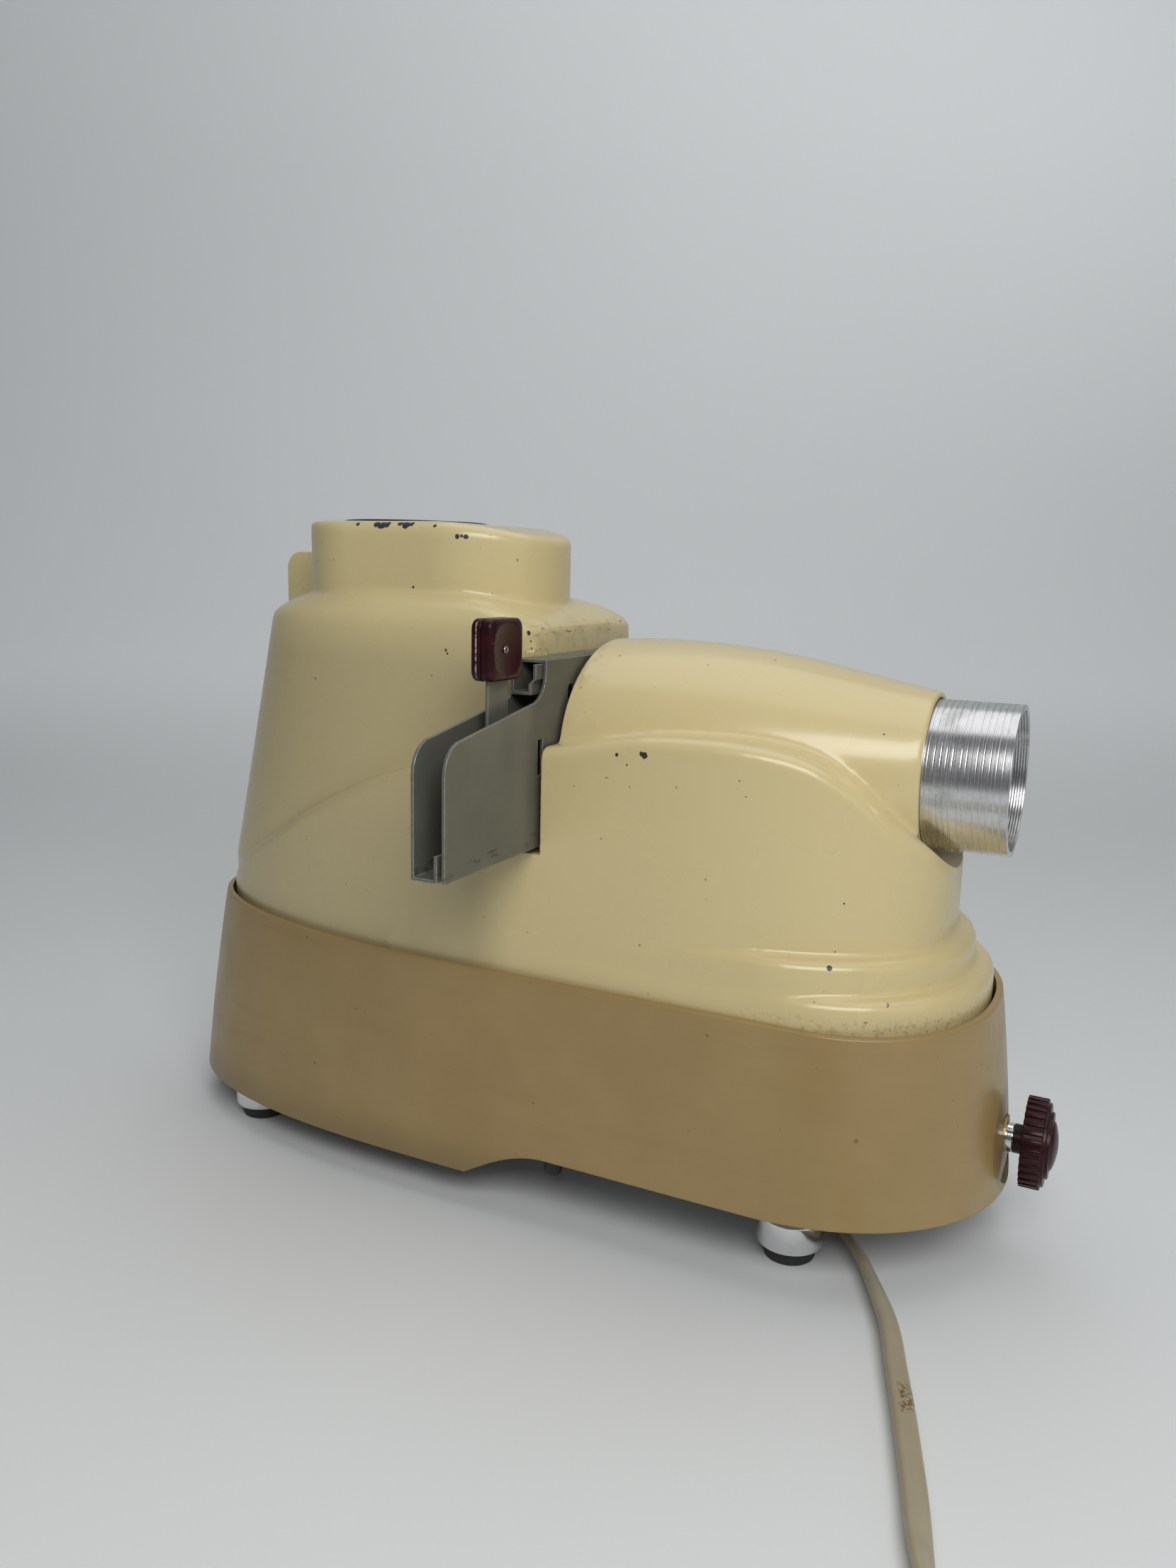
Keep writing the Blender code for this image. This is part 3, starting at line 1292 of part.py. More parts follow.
def make_elevating_gear():
    for name, side in (("rear_near", -1.0), ("rear_far", 1.0)):
        make_foot(name, -rear_foot_back, rear_foot_side * side, plate_height - seat_gap, root)
    bar_top = plate_height - seat_gap
    bar_low = bar_top - leg_bar_thickness
    for name, side in (("front_near", -1.0), ("front_far", 1.0)):
        make_foot(name, -front_foot_back, front_foot_side * side, bar_low - seat_gap, root)
    half_length = front_foot_side + foot_radius * 0.7
    bar = block("front_leg_bar", (-front_foot_back - leg_bar_width * 0.5, -half_length, bar_low),
                (-front_foot_back + leg_bar_width * 0.5, half_length, bar_top), STEEL, root)
    rack_top = knob_axis_height + leg_block_height * 0.6
    rack = block("rack", (-front_foot_back - leg_block_width * 0.5, leg_rack_side,
                          bar_low + leg_bar_thickness * 0.5),
                 (-front_foot_back + leg_block_width * 0.5, leg_rack_side + leg_rack_depth, rack_top),
                 None, root)
    bpy.context.view_layer.update()
    fuse(bar, rack)

    turn = bpy.data.objects.new("knob_turn", None)
    bpy.context.scene.collection.objects.link(turn)
    turn.parent = root
    turn.location = (0, 0, knob_axis_height)
    inner_end = -front_foot_back - leg_block_width * 0.5
    turned("elevating_shaft", (
        (inner_end, 0), (inner_end, pinion_radius), (inner_end + leg_block_width, pinion_radius),
        (inner_end + leg_block_width, knob_shaft_radius), (knob_rear - seat_gap, knob_shaft_radius),
        (knob_rear - seat_gap, 0)), 20, "X", (0, 0, 0), STEEL, turn)
    bush_start = -spot_boss_length - spot_face_back
    turned("shaft_bush", (
        (bush_start, knob_shaft_radius + seat_gap), (bush_start, knob_shaft_radius + bush_wall),
        (spot_face_back, knob_shaft_radius + bush_wall), (spot_face_back, knob_shaft_radius + seat_gap)),
        20, "X", (0, 0, knob_axis_height), BRASS, root)
    rings = []
    count = knob_flute_count * 4
    for place, inset in knob_rim_shares:
        ring = []
        for index in range(count):
            angle = math.tau * index / count
            deep = knob_flute_depth if index % 4 >= 2 else 0.0
            radius = knob_radius - deep - knob_flute_depth * inset
            ring.append((knob_rear + knob_rim_thickness * place, radius * math.cos(angle),
                         radius * math.sin(angle)))
        rings.append(ring)
    knob = lofted("elevating_knob", rings, MAROON, turn)
    face = knob_rear + knob_rim_thickness
    steps = turned("steps", (
        (face - knob_step_length, 0), (face - knob_step_length, knob_step_one_radius),
        (face + knob_step_length, knob_step_one_radius), (face + knob_step_length, knob_step_two_radius),
        (face + knob_step_length * 2, knob_step_two_radius), (face + knob_step_length * 2, knob_dome_radius),
        (face + knob_step_length * 2 + knob_dome_height * 0.6, knob_dome_radius * 0.72),
        (face + knob_step_length * 2 + knob_dome_height * 0.9, knob_dome_radius * 0.36),
        (face + knob_step_length * 2 + knob_dome_height, 0)), 28, "X", (0, 0, 0), MAROON, turn)
    bpy.context.view_layer.update()
    fuse(knob, steps)
    smooth(knob, 25.0)
    bearing = block("shaft_bearing", (inner_end - cast_wall * 2, -pinion_radius * 1.2, plate_top + seat_gap),
                    (inner_end - seat_gap, pinion_radius * 1.2, knob_axis_height + pinion_radius), STEEL,
                    root)
    return bearing


make_elevating_gear()

# switch, vent disc and rear fin


def make_switch():
    low = plate_top + seat_gap
    body = block("switch_body", (-switch_back - switch_body_length * 0.5,
                                 -switch_side - switch_body_width * 0.5, low),
                 (-switch_back + switch_body_length * 0.5, -switch_side + switch_body_width * 0.5,
                  low + switch_body_height), BLACK, root)
    neck_low = plate_height - switch_nut_height * 2
    neck = turned("neck", (
        (neck_low, 0), (neck_low, switch_neck_radius), (low + overrun, switch_neck_radius),
        (low + overrun, 0)),
        16, "Z", (-switch_back, -switch_side, 0), None, root)
    bpy.context.view_layer.update()
    fuse(body, neck)
    nut_top = plate_height - seat_gap
    nut = turned("switch_nut", (
        (nut_top - switch_nut_height, switch_neck_radius + seat_gap),
        (nut_top - switch_nut_height, switch_neck_radius * 1.5),
        (nut_top, switch_neck_radius * 1.5), (nut_top, switch_neck_radius + seat_gap)), 12, "Z",
        (-switch_back, -switch_side, 0), STEEL, root)
    pivot = bpy.data.objects.new("switch_pivot", None)
    bpy.context.scene.collection.objects.link(pivot)
    pivot.parent = root
    pivot.location = (-switch_back, -switch_side, plate_height)
    pivot.rotation_euler = (0, switch_lever_lean_share, 0)
    top = neck_low - plate_height - seat_gap * 2
    turned("switch_lever", (
        (top - switch_lever_length, 0), (top - switch_lever_length, switch_lever_tip_radius * 0.7),
        (top - switch_lever_length * 0.94, switch_lever_tip_radius),
        (top - switch_lever_length * 0.75, switch_lever_tip_radius),
        (top, switch_lever_top_radius), (top, 0)), 14, "Z", (0, 0, 0), BLACK, pivot)
    return nut


def make_vent_disc():
    top = collar_top + vent_disc_proud
    low = top - vent_disc_thickness
    disc = turned("vent_disc", (
        (low, 0), (low, vent_disc_radius), (top - vent_disc_proud * 0.4, vent_disc_radius),
        (top, vent_disc_radius - vent_disc_proud * 0.4), (top, 0)), 36, "Z", (-chimney_back, 0, 0), BLACK,
        root)
    for index in range(vent_slot_count):
        angle = math.tau * (index + 0.25) / vent_slot_count
        corners = ((vent_slot_inner, -0.5), (vent_slot_outer, -0.9), (vent_slot_outer, 0.9),
                   (vent_slot_inner, 0.5))
        outline = []
        for reach, side in corners:
            across = vent_slot_width * 0.5 * side
            outline.append((-chimney_back + reach * math.cos(angle) - across * math.sin(angle),
                            reach * math.sin(angle) + across * math.cos(angle)))
        bpy.context.view_layer.update()
        cut(disc, extruded("vent_slot", outline, "Z", low - overrun, vent_disc_thickness + overrun * 2,
                           None, root))
    smooth(disc, 30.0)


def make_rear_fin():
    """A rib that stands on the crown and runs down into the rear wall."""
    foot_height = blend(tower_foot_height, tower_shoulder_height, fin_foot_share)
    foot_back = blend(tower_foot_rear, tower_shoulder_rear, fin_foot_share)
    rear = fin_back + fin_length
    outline = [(-foot_back, foot_height), (-fin_back, foot_height), (-fin_back, fin_top)]
    for step in range(6):
        angle = math.radians(90.0 + 90.0 * step / 5)
        outline.append((-rear + fin_round * (1.0 + math.cos(angle)),
                        fin_top - fin_round * (1.0 - math.sin(angle))))
    outline.append((-rear, fin_top - fin_knee_drop))
    fin = extruded("rear_fin", outline, "Y", fin_side, fin_thickness, CREAM, root)
    clear = tower_body("clear", -seat_gap)
    bpy.context.view_layer.update()
    cut(fin, clear)
    smooth(fin, 30.0)


make_switch()
make_vent_disc()
make_rear_fin()

# mains cord, its strain relief, the wound length and the plug


def smooth_route(points, step):
    """Even points along a smooth curve that passes through the hand-chosen route points."""
    route = [Vector(point) for point in points]
    ends = [route[0] * 2.0 - route[1]] + route + [route[-1] * 2.0 - route[-2]]
    fine = []
    for index in range(1, len(ends) - 2):
        a, b, c, d = ends[index - 1:index + 3]
        for part in range(12):
            t = part / 12
            fine.append(0.5 * ((2.0 * b) + (c - a) * t + (2.0 * a - 5.0 * b + 4.0 * c - d) * t * t
                               + (3.0 * b - a - 3.0 * c + d) * t * t * t))
    fine.append(route[-1])
    total = sum((q - p).length for p, q in zip(fine, fine[1:]))
    count = max(2, round(total / step))
    even = [fine[0]]
    passed = 0.0
    for p, q in zip(fine, fine[1:]):
        length = (q - p).length
        while len(even) < count and passed + length >= total * len(even) / count:
            even.append(p.lerp(q, (total * len(even) / count - passed) / length))
        passed += length
    even.append(fine[-1])
    return even


def tube(name, points, resolution):
    data = bpy.data.curves.new(name, "CURVE")
    data.dimensions = "3D"
    data.bevel_depth = cord_width * 0.5
    data.bevel_resolution = resolution
    data.use_fill_caps = True
    spline = data.splines.new("POLY")
    spline.points.add(len(points) - 1)
    for point, place in zip(spline.points, points):
        point.co = (*place, 1.0)
    data.materials.append(CREAM_CORD)
    item = bpy.data.objects.new(name, data)
    bpy.context.scene.collection.objects.link(item)
    item.parent = root
    return item


def least_gap(points, skip):
    least = None
    for i, a in enumerate(points):
        for b in points[i + skip:]:
            apart = (b - a).length
            least = apart if least is None else min(least, apart)
    return least - cord_width


def coil_path(level):
    """Two flat layers: spiral in on the floor, climb in half a turn, spiral out on top."""
    outer = coil_mean_radius + coil_pitch * coil_loops_per_layer * 0.5
    inner = outer - coil_pitch * coil_loops_per_layer
    centre = Vector((coil_entry_front - outer * math.cos(coil_entry_turn_share),
                     -coil_entry_side - outer * math.sin(coil_entry_turn_share), 0.0))
    half_turn = coil_points_per_loop // 2
    lower = coil_loops_per_layer * coil_points_per_loop
    upper = round((coil_loops_per_layer - 1 + coil_exit_loop_share) * coil_points_per_loop)
    points = []
    for index in range(lower + half_turn + upper + 1):
        angle = coil_entry_turn_share - math.tau * index / coil_points_per_loop
        if index <= lower:
            radius, height = outer - coil_pitch * index / coil_points_per_loop, level
        elif index <= lower + half_turn:
            share = (index - lower) / half_turn
            radius = inner - coil_pitch * coil_dip_share * math.sin(math.pi * share)
            height = level + coil_layer_rise * smooth_share(share)
        else:
            radius = inner + coil_pitch * (index - lower - half_turn) / coil_points_per_loop
            height = level + coil_layer_rise
        points.append(centre + Vector((radius * math.cos(angle), radius * math.sin(angle), height)))
    return points


def make_cord():
    level = cord_width * 0.5 + cord_floor_gap
    heading = Vector((math.cos(relief_turn_share), math.sin(relief_turn_share), 0.0))
    mouth = Vector((-relief_back, relief_side, relief_height))
    start = mouth + heading * seat_gap
    coil = coil_path(level)
    lead = (coil[0] - coil[1]).normalized()
    join = coil[0] + lead * seat_gap
    route = [start, start + heading * cord_width]
    for x, y, rise in cord_route_shares:
        route.append(Vector((x * route_reach, y * route_reach, level + rise * route_rise)))
    route += [join + lead * cord_width, join]
    tube("cord", smooth_route(route, cord_point_step), 2)

    away = (coil[-1] - coil[-2]).normalized()
    low_end = coil[-1] + away * coil_tail_run
    steps = 8
    for step in range(1, steps + 1):
        share = step / steps
        point = coil[-1].lerp(low_end, share)
        point.z = blend(coil[-1].z, plug_height * 0.5 + cord_floor_gap, smooth_share(min(1.0, share * 1.15)))
        coil.append(point)
    tube("cord_coil", coil, 1)
    print("least gap between the coil's turns, mm:",
          round(least_gap(coil, coil_points_per_loop // 2) * 1000.0, 2))

    rings = []
    root_at = -relief_taper_length
    for place, width, low, high in (
            (root_at - relief_block_length, relief_block_width, relief_drop, plate_height - seat_gap),
            (root_at - seat_gap, relief_block_width, relief_drop, plate_height - seat_gap),
            (root_at, relief_root_width, relief_height - relief_root_width * 0.5,
             relief_height + relief_root_width * 0.5),
            (0.0, relief_tip_width, relief_height - relief_tip_width * 0.5,
             relief_height + relief_tip_width * 0.5)):
        outline = rounded_outline(-width * 0.5, low, width * 0.5, high,
                                  relief_round * (1.0 if width > relief_root_width else 2.5), 4)
        rings.append([(place, y, z) for y, z in outline])
    relief = lofted("strain_relief", rings, BLACK, root)
    smooth(relief, 30.0)
    relief.location = (mouth.x, mouth.y, 0.0)
    relief.rotation_euler = (0.0, 0.0, relief_turn_share)

    turn = math.atan2(away.y, away.x)
    tip = coil[-1] + away * seat_gap
    frame = bpy.data.objects.new("plug_frame", None)
    bpy.context.scene.collection.objects.link(frame)
    frame.parent = root
    frame.location = tip
    frame.rotation_euler = (0.0, 0.0, turn)
    rings = []
    for place, share in ((0.0, plug_nose_share), (0.25, 0.88), (0.6, 1.0), (1.0, 1.0)):
        width = plug_width * 0.5 * share
        height = plug_height * 0.5 * blend(share, 1.0, 0.4)
        outline = rounded_outline(-width, -height, width, height, plug_round, 3)
        rings.append([(plug_length * place, y, z) for y, z in outline])
    plug = lofted("plug_body", rings, CREAM_CORD, frame)
    smooth(plug, 40.0)
    for name, side in (("plug_blade_near", -0.5), ("plug_blade_far", 0.5)):
        middle = blade_spacing * side
        block(name, (plug_length + seat_gap, middle - blade_thickness * 0.5, -blade_width * 0.5),
              (plug_length + seat_gap + blade_length, middle + blade_thickness * 0.5, blade_width * 0.5),
              BRASS, frame)


make_cord()
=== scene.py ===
"""Slide projector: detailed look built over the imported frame. Metres, lens along +X, +Z up."""
import json
import math

import bmesh
import bpy
from mathutils import Matrix, Vector
from mathutils.bvhtree import BVHTree

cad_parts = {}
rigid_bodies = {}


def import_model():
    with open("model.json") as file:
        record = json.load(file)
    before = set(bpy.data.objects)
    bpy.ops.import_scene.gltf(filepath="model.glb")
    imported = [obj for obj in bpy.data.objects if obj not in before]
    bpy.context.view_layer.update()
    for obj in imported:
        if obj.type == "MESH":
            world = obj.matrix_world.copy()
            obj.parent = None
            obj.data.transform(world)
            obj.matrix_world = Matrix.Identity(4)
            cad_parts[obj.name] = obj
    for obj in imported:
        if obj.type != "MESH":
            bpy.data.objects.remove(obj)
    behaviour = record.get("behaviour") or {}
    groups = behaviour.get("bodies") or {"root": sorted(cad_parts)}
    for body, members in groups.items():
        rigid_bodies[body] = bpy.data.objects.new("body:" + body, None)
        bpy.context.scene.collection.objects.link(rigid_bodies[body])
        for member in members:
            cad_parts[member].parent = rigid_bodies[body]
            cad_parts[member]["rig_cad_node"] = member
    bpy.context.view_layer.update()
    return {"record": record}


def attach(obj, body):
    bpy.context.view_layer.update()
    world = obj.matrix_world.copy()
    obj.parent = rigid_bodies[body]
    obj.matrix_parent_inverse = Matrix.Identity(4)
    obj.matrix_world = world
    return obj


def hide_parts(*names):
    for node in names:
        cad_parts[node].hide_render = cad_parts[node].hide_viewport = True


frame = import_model()

# the part's own origin (front end of the lens barrel on the floor) in the row frame
ROOT = Vector((0.15705, 0.01765, 0.0))
# in the part's own frame: lens axis and elevating shaft (height), gate and chimney (along), radii
AXIS, SHAFT = 0.168, 0.0432
GATE, CHIMNEY = -0.1544, -0.2390
BARREL, SPOT_FACE = 0.0254, 0.0158
# gate plane and the casting's near wall in the row frame
GATE_AT, NEAR_WALL = ROOT.x + GATE, ROOT.y - 0.0603
# fitted camera: angles, focal length and image middle in pixels of the photo, place in metres
YAW, PITCH, ROLL = math.radians(26.08), math.radians(10.49), math.radians(1.38)
FOCAL, PHOTO_HEIGHT, MIDDLE_U, MIDDLE_V = 1661.0, 2212.0, 829.5, 1106.0
EYE = (0.19776, -0.38990, 0.23471)
scene = bpy.context.scene

# camera


def place_camera():
    across = Vector((math.cos(YAW), math.sin(YAW), 0.0))
    ahead = Vector((-math.sin(YAW), math.cos(YAW), 0.0))
    up = Vector((0.0, 0.0, 1.0))
    forward = ahead * math.cos(PITCH) - up * math.sin(PITCH)
    down = -up * math.cos(PITCH) - ahead * math.sin(PITCH)
    right = across * math.cos(ROLL) - down * math.sin(ROLL)
    lower = across * math.sin(ROLL) + down * math.cos(ROLL)
    data = bpy.data.cameras.new("photo_camera")
    data.sensor_fit = "AUTO"
    data.sensor_width = 36.0
    data.lens = data.sensor_width * FOCAL / PHOTO_HEIGHT
    data.clip_start, data.clip_end = 0.01, 20.0
    item = bpy.data.objects.new("photo_camera", data)
    scene.collection.objects.link(item)
    item.matrix_world = Matrix([(right[k], -lower[k], -forward[k], EYE[k]) for k in range(3)]
                               + [(0.0, 0.0, 0.0, 1.0)])
    scene.camera = item


place_camera()


def seen_at(u, v, level):
    """Row-frame point where the photo's pixel meets the upright plane y = level."""
    m = scene.camera.matrix_world
    ray = m.to_3x3() @ Vector(((u - MIDDLE_U) / FOCAL, -(v - MIDDLE_V) / FOCAL, -1.0))
    return m.translation + ray * ((level - m.translation.y) / ray.y)


# node materials


class Nodes:
    """Small helper around one node tree."""

    def __init__(self, name):
        self.material = bpy.data.materials.new(name)
        self.material.use_nodes = True
        self.tree = self.material.node_tree
        self.shader = self.tree.nodes["Principled BSDF"]
        self.point = self.tree.nodes.new("ShaderNodeTexCoord").outputs["Object"]

    def add(self, kind, **values):
        node = self.tree.nodes.new(kind)
        for key, value in values.items():
            setattr(node, key, value)
        return node

    def link(self, source, target):
        if isinstance(source, (int, float)):
            target.default_value = source
        elif isinstance(source, tuple):
            target.default_value = (*source, 1.0) if len(source) == 3 and target.type == "RGBA" else source
        else:
            self.tree.links.new(source, target)

    def fill(self, node, **sockets):
        for key, value in sockets.items():
            self.link(value, node.inputs[key.replace("_", " ")])
        return node

    def math(self, operation, a, b=0.0, c=None, clamp=False):
        node = self.add("ShaderNodeMath", operation=operation, use_clamp=clamp)
        self.link(a, node.inputs[0])
        self.link(b, node.inputs[1])
        if c is not None:
            self.link(c, node.inputs[2])
        return node.outputs[0]

    def both(self, *masks):
        total = masks[0]
        for mask in masks[1:]:
            total = self.math("MULTIPLY", total, mask)
        return total

    def either(self, *masks):
        total = masks[0]
        for mask in masks[1:]:
            total = self.math("MAXIMUM", total, mask)
        return total

    def vector(self, operation, a, b=(0.0, 0.0, 0.0)):
        node = self.add("ShaderNodeVectorMath", operation=operation)
        self.link(a, node.inputs[0])
        self.link(b, node.inputs[1])
        scalar = operation in ("DISTANCE", "DOT_PRODUCT")
        return node.outputs["Value" if scalar else "Vector"]

    def noise(self, scale, detail=3.0, rough=0.5, stretch=None, distortion=0.0):
        place = self.vector("MULTIPLY", self.point, stretch) if stretch else self.point
        node = self.fill(self.add("ShaderNodeTexNoise"), Vector=place, Scale=scale, Detail=detail,
                         Roughness=rough, Distortion=distortion)
        return node.outputs["Fac"]

    def line_noise(self, axis, scale, detail=4.0):
        """Noise that changes along one axis only, for turning marks."""
        node = self.add("ShaderNodeTexNoise", noise_dimensions="1D")
        return self.fill(node, W=self.axes()[axis], Scale=scale, Detail=detail).outputs["Fac"]

    def ramp(self, value, low, high, out_low=0.0, out_high=1.0):
        node = self.add("ShaderNodeMapRange", interpolation_type="SMOOTHSTEP")
        self.fill(node, Value=value, From_Min=low, From_Max=high, To_Min=out_low, To_Max=out_high)
        return node.outputs["Result"]

    def patches(self, low, high, *noise, out=(0.0, 1.0), **more):
        """Noise pushed apart between two levels."""
        return self.ramp(self.noise(*noise, **more), low, high, *out)

    def mix(self, share, a, b):
        node = self.add("ShaderNodeMix", data_type="RGBA")
        self.link(share, node.inputs[0])
        self.link(a, node.inputs[6])
        self.link(b, node.inputs[7])
        return node.outputs[2]

    def tint(self, under, tone, *masks):
        """A tone laid over a colour where all the masks are high."""
        return self.mix(self.both(*masks), under, tone)

    def axes(self):
        node = self.add("ShaderNodeSeparateXYZ")
        self.link(self.point, node.inputs[0])
        return node.outputs[0], node.outputs[1], node.outputs[2]

    def within(self, value, middle, half, blur):
        """1 where a value is inside a band round its middle."""
        away = self.math("ABSOLUTE", self.math("SUBTRACT", value, middle))
        return self.ramp(away, half + blur, half)

    def rounded(self, radius):
        return self.fill(self.add("ShaderNodeBevel", samples=6), Radius=radius).outputs[0]

    def edge(self, radius, low, high):
        """1 on edges and 0 on open faces, from how far a rounded normal leaves the true one."""
        geometry = self.add("ShaderNodeNewGeometry")
        same = self.vector("DOT_PRODUCT", self.rounded(radius), geometry.outputs["Normal"])
        return self.ramp(same, high, low)

    def bump(self, height, strength, distance, normal=None):
        node = self.fill(self.add("ShaderNodeBump"), Height=height, Strength=strength, Distance=distance)
        if normal is not None:
            self.link(normal, node.inputs["Normal"])
        return node.outputs[0]

    def spots(self, places, wobble_scale=900.0, wobble=0.0006):
        """Mask of small irregular spots at given points (x, y, z, radius)."""
        shift = self.math("MULTIPLY", self.math("SUBTRACT", self.noise(wobble_scale, 2.0), 0.5), wobble)
        found = []
        for x, y, z, radius in places:
            away = self.math("ADD", self.vector("DISTANCE", self.point, (x, y, z)), shift)
            found.append(self.ramp(away, radius * 1.06, radius * 0.94))
        return self.either(*found)

    def finish(self, colour, roughness, metallic=0.0, normal=None, **sockets):
        if normal is not None:
            sockets["Normal"] = normal
        self.fill(self.shader, Base_Color=colour, Roughness=roughness, Metallic=metallic, **sockets)
        return self.material


# marks seen in the enamel: pixel across, pixel down, radius
CHIP_MARKS = (
    (909, 1066, 0.00110), (905, 1064, 0.0008), (870, 1065, 0.0006), (884, 1079, 0.0003), (1170, 1366, 0.0009),
    (848, 1183, 0.0003), (1191, 1275, 0.0003), (902, 1409, 0.0004), (645, 757, 0.0009), (651, 756, 0.0006),
    (657, 757, 0.0009), (583, 828, 0.0005), (629, 917, 0.0005), (631, 922, 0.0004), (445, 957, 0.0003),
    (746, 893, 0.0009), (749, 905, 0.0004), (750, 915, 0.0004), (875, 876, 0.0005), (1247, 1036, 0.0004),
)
RIM_MARKS = (
    (532, 739, 0.0015), (539, 740, 0.0019), (547, 739, 0.0015), (565, 739, 0.0013), (573, 740, 0.0018),
    (581, 739, 0.0013), (505, 739, 0.0007), (614, 742, 0.0006),
)
# nicks in the base moulding and stains on the cord: the same, then how far nearer than the middle plane
BASE_NICKS = ((1258, 1594, 0.0007, 0.0603), (1254, 1593, 0.0005, 0.0603), (1262, 1595, 0.0005, 0.0603),
              (452, 1369, 0.0007, 0.0600))
CORD_STAINS = ((1279, 1958, 0.0030, 0.096), (1283, 1975, 0.0030, 0.100), (1280, 1990, 0.0028, 0.104))


def on_side(marks):
    """Points of marks that lie on upright planes beside the middle one."""
    return [(*seen_at(u, v, ROOT.y - side), radius) for u, v, radius, side in marks]


def on_surface(tree, marks):
    """Points of a mesh under the photo's marks; a mark just off the outline slides down onto it."""
    eye = scene.camera.matrix_world.translation
    places = []
    for u, v, radius in marks:
        for slide in range(0, 16, 2):
            way = seen_at(u, v + slide, 0.2) - eye
            hit = tree.ray_cast(eye, way.normalized())[0]
            if hit is not None and hit.z > RIM:
                places.append((*hit, radius))
                break
    return places


def cream_enamel(chip_places, rim_places):
    n = Nodes("cream_enamel_look")
    x, y, z = n.axes()
    cloud = n.patches(0.30, 0.75, 9.0, 2.0, 0.45)
    colour = n.mix(cloud, (0.670, 0.554, 0.286), (0.684, 0.568, 0.295))
    # painted light: the enamel is made paler towards the top
    colour = n.tint(colour, (0.690, 0.590, 0.330), n.ramp(z, 0.10, 0.22), 0.35)
    dirt = n.patches(0.56, 0.80, 60.0, 6.0, 0.62, stretch=(1.0, 1.0, 0.6))
    colour = n.tint(colour, (0.420, 0.340, 0.180), dirt, 0.02)
    scuffed = n.both(n.within(x, GATE_AT - 0.0120, 0.0045, 0.0050), n.within(z, 0.2112, 0.0006, 0.0022),
                     n.patches(0.57, 0.63, 420.0, 6.0, 0.72, stretch=(1.0, 0.40, 1.5)))
    grime = n.both(n.within(x, GATE_AT, 0.0080, 0.0120), n.ramp(z, 0.160, 0.200), n.ramp(z, 0.2190, 0.2140),
                   n.patches(0.46, 0.72, 150.0, 5.0, 0.65), 0.40)
    colour = n.mix(grime, colour, (0.330, 0.270, 0.150))
    # painted shade: the tower's near side, behind the gate and below the shoulder, is darkened
    painted_tower_shade = n.both(n.ramp(x, GATE_AT - 0.004, GATE_AT - 0.022), n.ramp(z, 0.214, 0.196),
                  n.ramp(y, ROOT.y, ROOT.y - 0.040))
    colour = n.tint(colour, (0.450, 0.380, 0.215), painted_tower_shade, 0.55)
    colour = n.tint(colour, (0.130, 0.105, 0.060), scuffed, 0.80)
    worn = n.both(n.within(x, GATE_AT, 0.0085, 0.0012), n.edge(0.0009, 0.82, 0.97),
                  n.patches(0.48, 0.56, 330.0, 4.0, 0.7))
    colour = n.tint(colour, (0.110, 0.085, 0.050), worn, 0.85)
    foot = n.both(n.ramp(z, RIM + 0.0060, RIM + 0.0015), n.patches(0.50, 0.60, 520.0, 6.0, 0.78),
                  n.ramp(x, ROOT.x - 0.085, ROOT.x - 0.045))
    colour = n.tint(colour, (0.300, 0.255, 0.160), foot, 0.55)
    chips = n.either(n.spots(chip_places), n.spots(rim_places, 420.0, 0.0022))
    # painted shade: the lug's edges, with specks on it, are darkened to outline it
    lug = n.both(n.within(x, ROOT.x - 0.1602, 0.0013, 0.0003), n.within(y, ROOT.y - 0.0391, 0.0056, 0.0004),
                 n.within(z, 0.2036, 0.0019, 0.0003),
                 n.either(n.edge(0.0006, 0.86, 0.98), n.patches(0.60, 0.64, 900.0, 4.0, 0.65)))
    specks = n.both(n.patches(0.800, 0.825, 430.0, 1.0, 0.3), 0.75)
    colour = n.mix(specks, colour, (0.130, 0.105, 0.070))
    # chips, and the painted shade round the lug, are laid in near black
    dark = n.either(chips, n.both(lug, 0.9))
    colour = n.mix(dark, colour, (0.026, 0.028, 0.036))
    peel = n.both(n.noise(560.0, 2.0, 0.45), 0.45)
    wave = n.both(n.noise(95.0, 2.0, 0.5), 0.4)
    height = n.math("SUBTRACT", n.math("ADD", peel, wave), n.both(dark, 1.2))
    rough = n.math("ADD", n.patches(0.3, 0.75, 38.0, 2.0, 0.5, out=(0.265, 0.285)), n.both(dark, 0.3))
    normal = n.bump(height, 0.06, 0.0009, n.rounded(0.0007))
    return n.finish(colour, rough, normal=normal, Coat_Weight=0.22, Coat_Roughness=0.10)


